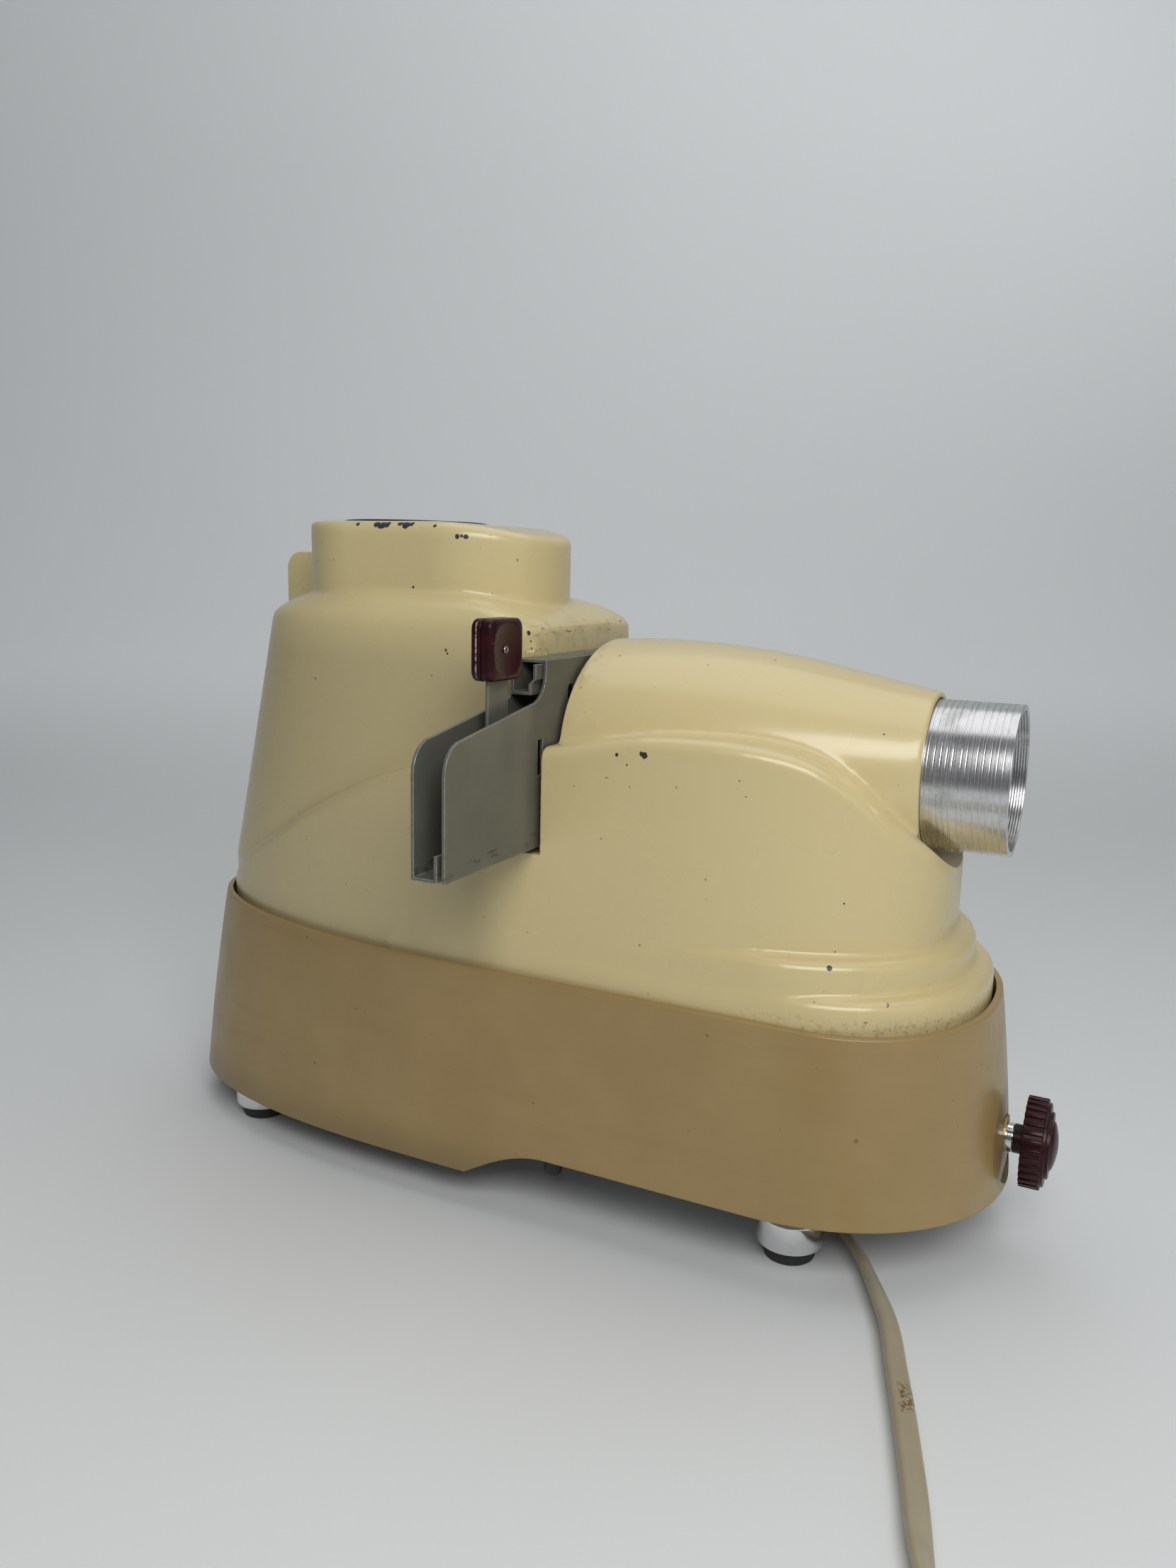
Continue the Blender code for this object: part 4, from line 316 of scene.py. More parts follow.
def tan_plastic():
    n = Nodes("tan_plastic_look")
    x, _, z = n.axes()
    cloud = n.patches(0.3, 0.75, 20.0, 5.0, 0.6)
    colour = n.mix(cloud, (0.330, 0.226, 0.088), (0.375, 0.262, 0.108))
    streak = n.patches(0.50, 0.80, 60.0, 6.0, 0.7, stretch=(0.25, 0.25, 2.2))
    colour = n.tint(colour, (0.250, 0.168, 0.062), streak, 0.28)
    # painted shade: darker towards the lower edge, next to the floor
    colour = n.tint(colour, (0.170, 0.120, 0.048), n.ramp(z, 0.030, 0.014), 0.45)
    # rubbed edges and a painted highlight: paler along the upper edges, most of all the rim's top edge
    rub_and_rim_highlight = n.both(n.edge(0.0011, 0.80, 0.97), n.patches(0.35, 0.65, 120.0, 4.0, 0.6), n.ramp(z, 0.060, 0.090))
    colour = n.tint(colour, (0.520, 0.420, 0.230), rub_and_rim_highlight, 0.55)
    nick = n.spots(on_side(BASE_NICKS), 700.0, 0.0006)
    # painted shade of the knob: a darker disc round the shaft on the spot face
    apart = n.vector("DISTANCE", n.vector("MULTIPLY", n.point, (0.0, 1.0, 1.0)), (0.0, ROOT.y, SHAFT))
    face = n.both(n.ramp(apart, 0.0186, 0.0180), n.ramp(x, ROOT.x - 0.012, ROOT.x - 0.006))
    colour = n.tint(colour, (0.190, 0.125, 0.045), face, 0.50)
    specks = n.patches(0.790, 0.815, 380.0, 1.0, 0.3)
    colour = n.tint(colour, (0.110, 0.075, 0.030), n.either(nick, specks), 0.6)
    rough = n.patches(0.3, 0.8, 70.0, 5.0, 0.6, out=(0.29, 0.44))
    normal = n.bump(n.noise(280.0, 2.0, 0.5), 0.10, 0.0006, n.rounded(0.0006))
    return n.finish(colour, rough, normal=normal, Coat_Weight=0.12, Coat_Roughness=0.2)


def grey_enamel():
    n = Nodes("grey_enamel_look")
    x, y, z = n.axes()
    cloud = n.patches(0.32, 0.74, 34.0, 5.0, 0.6)
    colour = n.mix(cloud, (0.120, 0.123, 0.100), (0.152, 0.154, 0.125))
    # painted shade: the plate darkens towards the casting's near wall
    painted_wall_shade = n.both(n.ramp(y, NEAR_WALL - 0.0130, NEAR_WALL - 0.0005),
                    n.ramp(x, GATE_AT + 0.003, GATE_AT + 0.0045))
    colour = n.tint(colour, (0.040, 0.040, 0.033), painted_wall_shade, 0.55)
    edge = n.edge(0.0006, 0.80, 0.985)
    thin = n.both(edge, n.patches(0.26, 0.50, 240.0, 5.0, 0.7))
    colour = n.tint(colour, (0.400, 0.400, 0.365), thin, 0.90)
    bare = n.both(edge, n.patches(0.50, 0.58, 430.0, 4.0, 0.7))
    colour = n.mix(bare, colour, (0.560, 0.560, 0.530))
    scrape = n.patches(0.66, 0.74, 75.0, 8.0, 0.8, stretch=(5.0, 0.6, 6.0))
    colour = n.tint(colour, (0.260, 0.255, 0.225), scrape, 0.22)
    low = n.both(n.within(z, 0.1425, 0.0016, 0.0014),
                 n.patches(0.56, 0.60, 210.0, 5.0, 0.75, stretch=(1.0, 0.5, 2.0)))
    colour = n.tint(colour, (0.030, 0.030, 0.026), low, 0.7)
    fine = n.noise(900.0, 3.0, 0.6)
    rough = n.patches(0.3, 0.8, 85.0, 4.0, 0.6, out=(0.34, 0.52))
    return n.finish(colour, rough, n.both(bare, 0.8), n.bump(fine, 0.10, 0.0004, n.rounded(0.0004)))


def worn_paint(name, base, bare, edge_radius, wear_share, rough=0.42):
    n = Nodes(name)
    cloud = n.patches(0.32, 0.74, 32.0, 5.0, 0.6)
    colour = n.mix(cloud, tuple(v * 0.72 for v in base), base)
    wear = n.both(n.edge(edge_radius, 0.80, 0.985), n.patches(0.40, 0.60, 210.0, 5.0, 0.7), wear_share)
    colour = n.mix(wear, colour, bare)
    roughness = n.patches(0.3, 0.8, 85.0, 4.0, 0.6, out=(rough - 0.08, rough + 0.12))
    normal = n.bump(n.noise(900.0, 3.0, 0.6), 0.10, 0.0004, n.rounded(edge_radius))
    return n.finish(colour, roughness, n.both(wear, 0.8), normal)


def maroon_plastic():
    n = Nodes("maroon_plastic_look")
    x, y, z = n.axes()
    swirl = n.patches(0.35, 0.70, 110.0, 4.0, 0.6, distortion=1.2)
    colour = n.mix(swirl, (0.022, 0.0030, 0.0055), (0.038, 0.0055, 0.0080))
    haze = n.patches(0.55, 0.85, 260.0, 5.0, 0.65)
    colour = n.tint(colour, (0.130, 0.070, 0.062), haze, 0.14)
    seam = n.both(n.within(x, GATE_AT - 0.0017, 0.00022, 0.00012), n.ramp(z, 0.190, 0.192),
                  n.ramp(y, ROOT.y - 0.0874, ROOT.y - 0.0880), n.patches(0.40, 0.54, 520.0, 5.0, 0.75))
    colour = n.tint(colour, (0.480, 0.390, 0.350), seam, 0.90)
    nicks = n.patches(0.765, 0.79, 520.0, 2.0, 0.5)
    colour = n.tint(colour, (0.330, 0.270, 0.230), nicks, 0.6)
    rough = n.patches(0.3, 0.8, 140.0, 4.0, 0.6, out=(0.26, 0.40))
    normal = n.bump(n.noise(300.0, 2.0, 0.5), 0.07, 0.0004, n.rounded(0.00035))
    return n.finish(colour, rough, normal=normal, Coat_Weight=0.03, Coat_Roughness=0.15,
                    Specular_IOR_Level=0.22)


def turned_metal(name, colour, rough, tarnish, amount):
    n = Nodes(name)
    z = n.axes()[2]
    fine = n.line_noise(0, 2600.0)
    broad = n.line_noise(0, 700.0, 2.0)
    stain = n.patches(0.50, 0.74, 85.0, 6.0, 0.68)
    tone = n.mix(n.ramp(fine, 0.3, 0.7, 0.0, 0.10), colour, tuple(v * 0.70 for v in colour))
    # painted reflection: a warm cream tone on the barrel below its axis, standing in for the casting's
    # reflection
    painted_casting_reflection = n.ramp(z, AXIS - 0.010, AXIS - 0.024)
    tone = n.tint(tone, (0.66, 0.62, 0.50), painted_casting_reflection, 0.20)
    tone = n.tint(tone, tarnish, stain, amount)
    pits = n.patches(0.70, 0.76, 900.0, 2.0, 0.5)
    tone = n.tint(tone, (0.16, 0.155, 0.15), pits, 0.25)
    roughness = n.math("ADD", n.ramp(fine, 0.3, 0.7, rough - 0.05, rough + 0.07), n.both(stain, 0.14))
    height = n.math("ADD", fine, n.both(broad, 1.5))
    return n.finish(tone, roughness, 1.0, n.bump(height, 0.014, 0.00020))


def smooth_metal(name, colour, rough, spots=0.15, scale=240.0):
    n = Nodes(name)
    haze = n.patches(0.50, 0.80, scale, 5.0, 0.65)
    tone = n.tint(colour, tuple(v * 0.45 for v in colour), haze, spots)
    roughness = n.patches(0.3, 0.8, scale * 0.4, 4.0, 0.6, out=(rough, rough + 0.12))
    return n.finish(tone, roughness, 1.0, n.bump(n.noise(scale * 3.0, 2.0), 0.05, 0.0003, n.rounded(0.0003)))


def plain(name, colour, rough, grain=500.0, bump=0.10, dust=0.12, dust_colour=(0.42, 0.38, 0.30), coat=0.0):
    n = Nodes(name)
    cloud = n.patches(0.35, 0.75, 45.0, 5.0, 0.6)
    tone = n.mix(cloud, colour, tuple(min(1.0, v * 1.35) for v in colour))
    specks = n.patches(0.60, 0.80, 600.0, 3.0, 0.6)
    tone = n.tint(tone, dust_colour, specks, dust)
    roughness = n.patches(0.3, 0.8, 90.0, 4.0, 0.6, out=(rough - 0.05, rough + 0.10))
    normal = n.bump(n.noise(grain, 3.0, 0.6), bump, 0.0004, n.rounded(0.0003))
    return n.finish(tone, roughness, 0.0, normal, Coat_Weight=coat)


def clear_glass(name, tint):
    n = Nodes(name)
    film = n.patches(0.4, 0.8, 60.0, 4.0, 0.6, out=(0.0, 0.06))
    return n.finish(tint, film, 0.0, n.bump(n.noise(90.0, 2.0), 0.01, 0.0002), IOR=1.5,
                    Transmission_Weight=1.0)


def cord_vinyl():
    n = Nodes("cord_vinyl_look")
    cloud = n.patches(0.35, 0.75, 30.0, 4.0, 0.6)
    tone = n.mix(cloud, (0.365, 0.315, 0.215), (0.430, 0.376, 0.268))
    brown = n.patches(0.66, 0.76, 300.0, 5.0, 0.7)
    stain = n.both(n.spots(on_side(CORD_STAINS), 500.0, 0.004), n.patches(0.45, 0.6, 700.0, 4.0, 0.7))
    tone = n.mix(n.either(n.both(brown, 0.30), stain), tone, (0.170, 0.105, 0.048))
    return n.finish(tone, 0.40, 0.0, n.bump(n.noise(700.0, 3.0, 0.6), 0.08, 0.0003), Coat_Weight=0.1)


# mesh helpers


def between(a, b, share):
    return a + (b - a) * share


def eased(share):
    share = min(max(share, 0.0), 1.0)
    return share * share * (3.0 - 2.0 * share)


def read_table(table, place, column=1):
    """Value of one column at a place, with rounded joins between the rows."""
    places = [row[0] for row in table]
    values = [row[column] for row in table]
    if place <= places[0]:
        return values[0]
    if place >= places[-1]:
        return values[-1]
    i = max(k for k, p in enumerate(places[:-1]) if p <= place)

    def slope(k):
        if k <= 0 or k >= len(places) - 1:
            near = 0 if k <= 0 else len(places) - 2
            return (values[near + 1] - values[near]) / (places[near + 1] - places[near])
        return (values[k + 1] - values[k - 1]) / (places[k + 1] - places[k - 1])

    width = places[i + 1] - places[i]
    t = (place - places[i]) / width
    a, b = values[i], values[i + 1]
    m, n = slope(i) * width, slope(i + 1) * width
    return ((2 * t ** 3 - 3 * t ** 2 + 1) * a + (t ** 3 - 2 * t ** 2 + t) * m
            + (-2 * t ** 3 + 3 * t ** 2) * b + (t ** 3 - t ** 2) * n)


def bent(p, q, r, s, t):
    """Value between q and r on the smooth curve through four values in a row."""
    return 0.5 * (2.0 * q + (r - p) * t + (2.0 * p - 5.0 * q + 4.0 * r - s) * t * t
                  + (3.0 * q - p - 3.0 * r + s) * t * t * t)


def rounding(edge, rounds, degrees=90.0):
    """Steps of a rounded rim: how far each draws in, and how far it lies below the top."""
    angles = [math.radians(degrees * k / rounds) for k in range(rounds + 1)]
    return [(edge * (1.0 - math.cos(angle)), edge * (1.0 - math.sin(angle))) for angle in angles]


def quarter(power, steps):
    angles = [0.5 * math.pi * step / steps for step in range(1, steps)]
    shares = [(math.cos(angle) ** (2.0 / power), math.sin(angle) ** (2.0 / power)) for angle in angles]
    return [(1.0, 0.0)] + shares + [(0.0, 1.0)]


def boat(rear, rear_run, rear_power, front, front_run, front_power, half, steps):
    """Closed plan ring from the front tip round +Y to the rear tip and back along -Y."""
    side = [(front - front_run * (1.0 - a), half * b) for a, b in quarter(front_power, steps)]
    tail = [(rear + rear_run * (1.0 - a), half * b) for a, b in quarter(rear_power, steps)]
    side += list(reversed(tail))
    return side + [(x, -y) for x, y in reversed(side[1:-1])]


def soft_box(low_a, low_b, high_a, high_b, radius, steps):
    points = []
    for a, b, first in ((high_a - radius, high_b - radius, 0.0), (low_a + radius, high_b - radius, 90.0),
                        (low_a + radius, low_b + radius, 180.0), (high_a - radius, low_b + radius, 270.0)):
        for step in range(steps + 1):
            angle = math.radians(first + 90.0 * step / steps)
            points.append((a + radius * math.cos(angle), b + radius * math.sin(angle)))
    return points


def close_mesh(name, bm):
    bmesh.ops.remove_doubles(bm, verts=bm.verts[:], dist=0.000004)
    bmesh.ops.recalc_face_normals(bm, faces=bm.faces[:])
    mesh = bpy.data.meshes.new(name)
    bm.to_mesh(mesh)
    bm.free()
    return mesh


def add_face(bm, *corners):
    """Face through the corners; one met twice counts once, and fewer than three make none."""
    corners = list(dict.fromkeys(corners))
    if len(corners) > 2:
        bm.faces.new(corners)


def bridge(bm, low, high):
    for k in range(len(low)):
        after = (k + 1) % len(low)
        add_face(bm, low[k], low[after], high[after], high[k])


def loft(name, rings, strips=(False, False), looped=False):
    """Closed mesh through rings of equal count; looped joins the last ring to the first, and else
    each end is one face, or strips from side to side."""
    bm = bmesh.new()
    rows = [[bm.verts.new(point) for point in ring] for ring in rings]
    count = len(rows[0])
    for low, high in zip(rows, rows[1:] + (rows[:1] if looped else [])):
        bridge(bm, low, high)
    for row, striped in () if looped else ((rows[0], strips[0]), (rows[-1], strips[1])):
        if not striped:
            bm.faces.new(row)
            continue
        for k in range(count // 2):
            add_face(bm, row[k], row[k + 1], row[count - k - 1], row[-k % count])
    return close_mesh(name, bm)


def turn(name, profile, axis="X", centre=(0.0, 0.0, 0.0), count=96):
    """Turn a closed (along, radius) outline about an axis through centre."""
    first = "XYZ".index(axis)
    along, side, up = (Matrix.Identity(3)[(first + k) % 3] for k in range(3))
    middle = Vector(centre)
    bm = bmesh.new()
    rows = []
    for place, radius in profile:
        if radius == 0:
            rows.append([bm.verts.new(middle + along * place)] * count)
            continue
        angles = [math.tau * k / count for k in range(count)]
        rows.append([bm.verts.new(middle + along * place + side * (radius * math.cos(angle))
                                  + up * (radius * math.sin(angle))) for angle in angles])
    for low, high in zip(rows, rows[1:] + (rows[:1] if profile[0][1] > 0 else [])):
        bridge(bm, low, high)
    return close_mesh(name, bm)


def rod(name, start, end, radius, *place):
    return turn(name, ((start, 0), (start, radius), (end, radius), (end, 0)), *place)


def push(name, outline, plane, start, thickness):
    """A flat outline in two coordinates, pushed along the third."""
    def spot(a, b, level):
        return {"X": (level, a, b), "Y": (a, level, b), "Z": (a, b, level)}[plane]
    return loft(name, [[spot(a, b, level) for a, b in outline] for level in (start, start + thickness)])


def brick(name, low, high):
    return push(name, ((low[0], low[1]), (high[0], low[1]), (high[0], high[1]), (low[0], high[1])), "Z",
                low[2], high[2] - low[2])


def evaluated(item):
    graph = bpy.context.evaluated_depsgraph_get()
    graph.update()
    return bpy.data.meshes.new_from_object(item.evaluated_get(graph))


def with_modifier(mesh, kind, **values):
    """Mesh after one modifier, set up from plain values."""
    item = bpy.data.objects.new(mesh.name, mesh)
    scene.collection.objects.link(item)
    modifier = item.modifiers.new(kind.lower(), kind)
    for key, value in values.items():
        setattr(modifier, key, value)
    result = evaluated(item)
    result.name = mesh.name
    bpy.data.objects.remove(item)
    return result


def carve(mesh, tool, operation="DIFFERENCE"):
    other = bpy.data.objects.new("tool", tool)
    scene.collection.objects.link(other)
    result = with_modifier(mesh, "BOOLEAN", operation=operation, solver="EXACT", object=other)
    bpy.data.objects.remove(other)
    return result


def add_to(mesh, tool):
    return carve(mesh, tool, "UNION")


def eased_edges(mesh, width, segments=2, degrees=35.0):
    return with_modifier(mesh, "BEVEL", width=width, segments=segments, limit_method="ANGLE",
                         angle_limit=math.radians(degrees))


def joined(name, meshes):
    bm = bmesh.new()
    for mesh in meshes:
        bm.from_mesh(mesh)
    result = bpy.data.meshes.new(name)
    bm.to_mesh(result)
    bm.free()
    return result


def moved(mesh, place=(0.0, 0.0, 0.0), turned_by=0.0, about="Z"):
    mesh.transform(Matrix.Translation(place) @ Matrix.Rotation(turned_by, 4, about))
    return mesh


def smooth_faces(mesh, degrees):
    bm = bmesh.new()
    bm.from_mesh(mesh)
    limit = math.radians(degrees)
    for face in bm.faces:
        face.smooth = True
    for edge in bm.edges:
        edge.smooth = len(edge.link_faces) != 2 or edge.calc_face_angle(0.0) < limit
    bm.to_mesh(mesh)
    bm.free()


def new_piece(name, mesh, body, slot, replaces=(), degrees=38.0, look=None):
    """Finished piece from a mesh laid out in the part's own frame; the slot's own look, or another."""
    smooth_faces(mesh, degrees)
    mesh.transform(Matrix.Translation(ROOT))
    mesh.name = name
    item = bpy.data.objects.new(name, mesh)
    scene.collection.objects.link(item)
    mesh.materials.clear()
    mesh.materials.append(LOOKS[look or slot])
    for polygon in mesh.polygons:
        polygon.material_index = 0
    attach(item, body)
    if replaces:
        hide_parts(*replaces)
    return item


# repeated parts by Geometry Nodes


def repeat_tree(name, kind):
    """Node tree that sets copies of a part on a ring (turned outwards) or on a straight row."""
    tree = bpy.data.node_groups.new(name, "GeometryNodeTree")
    sockets = {}
    for label, direction, kind_of in (("Geometry", "INPUT", "Geometry"), ("Part", "INPUT", "Object"),
                                      ("Count", "INPUT", "Int"), ("Radius", "INPUT", "Float"),
                                      ("Step", "INPUT", "Vector"), ("Finish", "INPUT", "Material"),
                                      ("Geometry", "OUTPUT", "Geometry")):
        sockets[label] = tree.interface.new_socket(label, in_out=direction,
                                                   socket_type="NodeSocket" + kind_of)
    add = tree.nodes.new
    start, end = add("NodeGroupInput"), add("NodeGroupOutput")
    part = add("GeometryNodeObjectInfo")
    tree.links.new(start.outputs["Part"], part.inputs["Object"])
    spread = add("GeometryNodeInstanceOnPoints")
    if kind == "ring":
        base = add("GeometryNodeMeshCircle")
        tree.links.new(start.outputs["Count"], base.inputs["Vertices"])
        tree.links.new(start.outputs["Radius"], base.inputs["Radius"])
        aim = add("FunctionNodeAlignRotationToVector")
        aim.axis = "X"
        tree.links.new(add("GeometryNodeInputPosition").outputs[0], aim.inputs["Vector"])
        tree.links.new(aim.outputs[0], spread.inputs["Rotation"])
    else:
        base = add("GeometryNodeMeshLine")
        tree.links.new(start.outputs["Count"], base.inputs["Count"])
        tree.links.new(start.outputs["Step"], base.inputs["Offset"])
    tree.links.new(base.outputs[0], spread.inputs["Points"])
    tree.links.new(part.outputs["Geometry"], spread.inputs["Instance"])
    real, paint = add("GeometryNodeRealizeInstances"), add("GeometryNodeSetMaterial")
    tree.links.new(spread.outputs[0], real.inputs[0])
    tree.links.new(real.outputs[0], paint.inputs["Geometry"])
    tree.links.new(start.outputs["Finish"], paint.inputs["Material"])
    tree.links.new(paint.outputs[0], end.inputs[0])
    return tree, {label: socket.identifier for label, socket in sockets.items()}


RING = repeat_tree("set_round_a_ring", "ring")
ROW = repeat_tree("set_in_a_row", "row")


def repeated(part, kind, look, count, radius=0.0, step=(0.0, 0.0, 0.0)):
    """Mesh of a part repeated by one of the two trees."""
    tree, labels = kind
    item = bpy.data.objects.new("one_" + part.name, part)
    host = bpy.data.objects.new("all_" + part.name, bpy.data.meshes.new("empty"))
    scene.collection.objects.link(item)
    scene.collection.objects.link(host)
    modifier = host.modifiers.new("repeat", "NODES")
    modifier.node_group = tree
    for label, value in (("Part", item), ("Count", count), ("Radius", radius), ("Step", step),
                         ("Finish", LOOKS[look])):
        modifier[labels[label]] = value
    result = evaluated(host)
    bpy.data.objects.remove(host)
    bpy.data.objects.remove(item)
    return result


# lamphouse casting: arch, two bands, tower, nose and collar, one smooth skin with its hollow cut out

ARCH_LINE = (
    (0.000, 0.050), (0.031, 0.085), (0.069, 0.198), (0.160, 0.379), (0.224, 0.527), (0.280, 0.629),
    (0.330, 0.713), (0.376, 0.770), (0.425, 0.822), (0.557, 0.945), (0.665, 0.991), (0.738, 1.000),
    (0.800, 0.980), (0.840, 0.935), (0.874, 0.849), (0.892, 0.787), (0.909, 0.715), (0.925, 0.660),
    (0.941, 0.606), (0.956, 0.550), (1.000, 0.500),
)
CROWN = (
    (0.0, 0.0, 0.0, 0.0), (0.15, 0.015, 0.030, 0.030), (0.30, 0.050, 0.085, 0.100),
    (0.55, 0.150, 0.250, 0.300), (0.75, 0.285, 0.500, 0.520), (0.90, 0.440, 0.740, 0.720),
    (1.0, 0.620, 0.850, 0.850),
)
NOSE = (
    (0.0, 1.0, 0.93), (0.10, 1.01, 0.98), (0.22, 0.985, 1.0), (0.38, 0.90, 0.93), (0.55, 0.75, 0.77),
    (0.72, 0.52, 0.50), (0.87, 0.26, 0.22), (0.955, 0.11, 0.07), (0.985, 0.05, 0.03), (1.0, 0.0, 0.0),
)
RIM, CAST_REAR, CAST_FRONT, CAST_FLOOR = 0.0925, -0.3286, -0.0028, 0.0835
SLOT_REAR, SLOT_FRONT = -0.16165, -0.14715
SHOULDER, CROWN_TOP, COLLAR_TOP = 0.2110, 0.2256, 0.2498
WALL, SOFT_RIM = 0.0032, 0.0042


def arch_form(wall, steps, rounds):
    def ring(inset, drop, level=None):
        plan = boat(CAST_REAR + wall + inset, 0.150 - wall - inset, 2.15, -0.0165 - wall - inset,
                    0.095 - wall - inset, 2.5, 0.0603 - wall - inset, steps)
        tops = [RIM + 0.0883 * read_table(ARCH_LINE, (x - CAST_REAR) / (CAST_FRONT - CAST_REAR))
                for x, y in plan]
        return [(x, y, level or top - wall - drop) for (x, y), top in zip(plan, tops)]
    rings = [ring(0.0, 0.0, CAST_FLOOR - (0.002 if wall else 0.0))]
    rings += [ring(inset, drop) for inset, drop in rounding(SOFT_RIM, rounds, 88.0)]
    return loft("arch", rings, (False, True))


def band_form(front, run, power, half, top):
    def ring(inset, level):
        plan = boat(-0.2300, 0.0200, 2.15, front - inset, run - inset, power, half - inset, 40)
        return [(x, y * (1.0 - 0.032 * (1.0 - eased((x + 0.2050) / 0.1000))), level) for x, y in plan]
    rings = [ring(0.0, CAST_FLOOR)] + [ring(inset, top - drop) for inset, drop in rounding(SOFT_RIM, 8)]
    return loft("band", rings)


def crown_rows(parts):
    rows = []
    for i in range(len(CROWN) - 1):
        a, b, c, d = CROWN[max(i - 1, 0)], CROWN[i], CROWN[i + 1], CROWN[min(i + 2, len(CROWN) - 1)]
        for k in range(parts):
            rows.append(tuple(bent(p, q, r, s, k / parts) for p, q, r, s in zip(a, b, c, d)))
    return rows[1:] + [CROWN[-1]]


def tower_form(wall, steps, parts):
    front = SLOT_REAR + (0.0 if wall else 0.001) - wall

    def ring(level, rear, run, half, draw):
        plan = boat(-rear + wall, run - wall, 2.2, front - draw, 0.0140 - wall + draw * 0.3, 5.0,
                    half - wall, steps)
        return [(x, y, level - wall) for x, y in plan]
    rings = [ring(level, 0.3270, 0.135, 0.0562, 0.0) for level in (0.0950 - wall, 0.1080 - wall)]
    for k in range(1, parts + 2):
        t = k / (parts + 1)
        rings.append(ring(between(0.1080, SHOULDER, t), between(0.3270, 0.3030, t), between(0.135, 0.085, t),
                          between(0.0562, 0.0482, t), 0.0))
    for rise, side, fore, aft in crown_rows(parts):
        rings.append(ring(between(SHOULDER, CROWN_TOP, rise), 0.3030 - 0.0400 * aft,
                          0.085 - 0.0400 * aft * 0.8 - 0.0500 * fore * 0.5, 0.0482 - 0.0290 * side,
                          0.0500 * fore))
    return loft("tower", rings)


def nose_form(wall, stations, count):
    start = SLOT_FRONT - 0.002
    length = -0.0270 - start
    rings = []
    for k in range(stations + 1):
        share = k / stations
        x = start + length * share
        if wall and not SLOT_FRONT + wall < x < -0.0620:
            continue
        half = between(0.0278, 0.0475, read_table(NOSE, share, 1)) - wall
        rise = between(0.0278, 0.0408, read_table(NOSE, share, 2)) - wall
        rings.append([(x, half * math.cos(math.tau * j / count), AXIS + rise * math.sin(math.tau * j / count))
                      for j in range(count)])
    return loft("nose", rings)


def collar_form(wall, steps, rounds):
    def plan(inset):
        half = 0.0360 - wall - inset
        return boat(-0.2824 + wall + inset, half, 2.0, -0.1728 - wall - inset, half, 2.0, half, steps)

    def fall(x):
        return 0.0048 * min(1.0, max(0.0, (x + 0.2105) / 0.0377)) ** 2
    rings = [[(x, y, SHOULDER) for x, y in plan(0.0)]]
    for inset, drop in rounding(1.0, rounds):
        ring = []
        for (x, y), (u, v) in zip(plan(0.0), plan(0.0050)):
            edge = read_table(((0.0, 0.2), (0.35, 1.0), (0.75, 1.0), (1.0, 0.7)), (x + 0.2824) / 0.1096)
            ring.append((between(x, u, edge * inset), between(y, v, edge * inset),
                         COLLAR_TOP - wall - fall(x) - 0.0050 * edge * drop))
        rings.append(ring)
    return loft("collar", rings, (not wall, True))


def casting_skin():
    skin = arch_form(0.0, 36, 8)
    for part in (band_form(CAST_FRONT, 0.055, 2.05, 0.0617, 0.1025),
                 band_form(-0.0095, 0.060, 2.00, 0.0611, 0.1138),
                 tower_form(0.0, 30, 5), nose_form(0.0, 40, 96), collar_form(0.0, 24, 9)):
        skin = add_to(skin, part)
    skin = with_modifier(skin, "REMESH", mode="VOXEL", voxel_size=0.00095, adaptivity=0.0)
    skin = with_modifier(skin, "SMOOTH", factor=0.5, iterations=6)
    skin = with_modifier(skin, "DECIMATE", decimate_type="COLLAPSE", ratio=0.36)
    lug = push("lug", soft_box(-0.0440, 0.2020, -0.0342, 0.2051, 0.0009, 4), "X", -0.1640, 0.0048)
    hollow = arch_form(WALL, 16, 3)
    for part in (tower_form(WALL, 14, 2), collar_form(WALL, 12, 3), nose_form(WALL, 12, 48)):
        hollow = add_to(hollow, part)
    wide, high, slot_floor, raised = 0.064, 0.274, 0.1365, 0.1387
    bore_wall = ((-0.0620, 0), (-0.0620, 0.0317), (-0.0310, 0.0345), (0.0, 0.0345), (0.0, 0))
    for keep in (brick("gate_walls", (SLOT_REAR - WALL, -wide, slot_floor - WALL),
                       (SLOT_FRONT + WALL, wide, high)),
                 brick("front_wall", (-0.0219, -wide, CAST_FLOOR - 0.004), (0.0, wide, high)),
                 turn("bore_wall", bore_wall, "X", (0, 0, AXIS), 64)):
        hollow = carve(hollow, keep)
    cuts = [
        brick("slot", (SLOT_REAR, -wide, raised), (SLOT_FRONT, wide, high)),
        brick("slot_end", (SLOT_REAR, 0.0520, slot_floor), (SLOT_FRONT, wide, 0.1400)),
        brick("slot_end", (SLOT_REAR, -wide, slot_floor), (SLOT_FRONT, -0.0520, 0.1400)),
        turn("mouth", ((-0.1060, 0), (-0.1060, 0.0272), (-0.0300, 0.0272), (-0.0300, 0.0261),
                       (-0.0273, 0.0261), (-0.0273, 0.0308), (0.0270, 0.0316), (0.0270, 0)), "X",
             (0, 0, AXIS), 120),
        rod("light_hole", SLOT_REAR - 0.0052, SLOT_FRONT + 0.0052, 0.0230, "X", (0, 0, AXIS), 64),
        turn("chimney", ((0.2434, 0), (0.2434, 0.0250), (0.2482, 0.0250), (0.2482, 0.0288), (0.2540, 0.0288),
                         (0.2540, 0)), "Z", (CHIMNEY, 0, 0), 96),
    ]
    for part in cuts:
        hollow = add_to(hollow, part)
    skin = carve(skin, hollow)
    return add_to(skin, lug)


# base moulding


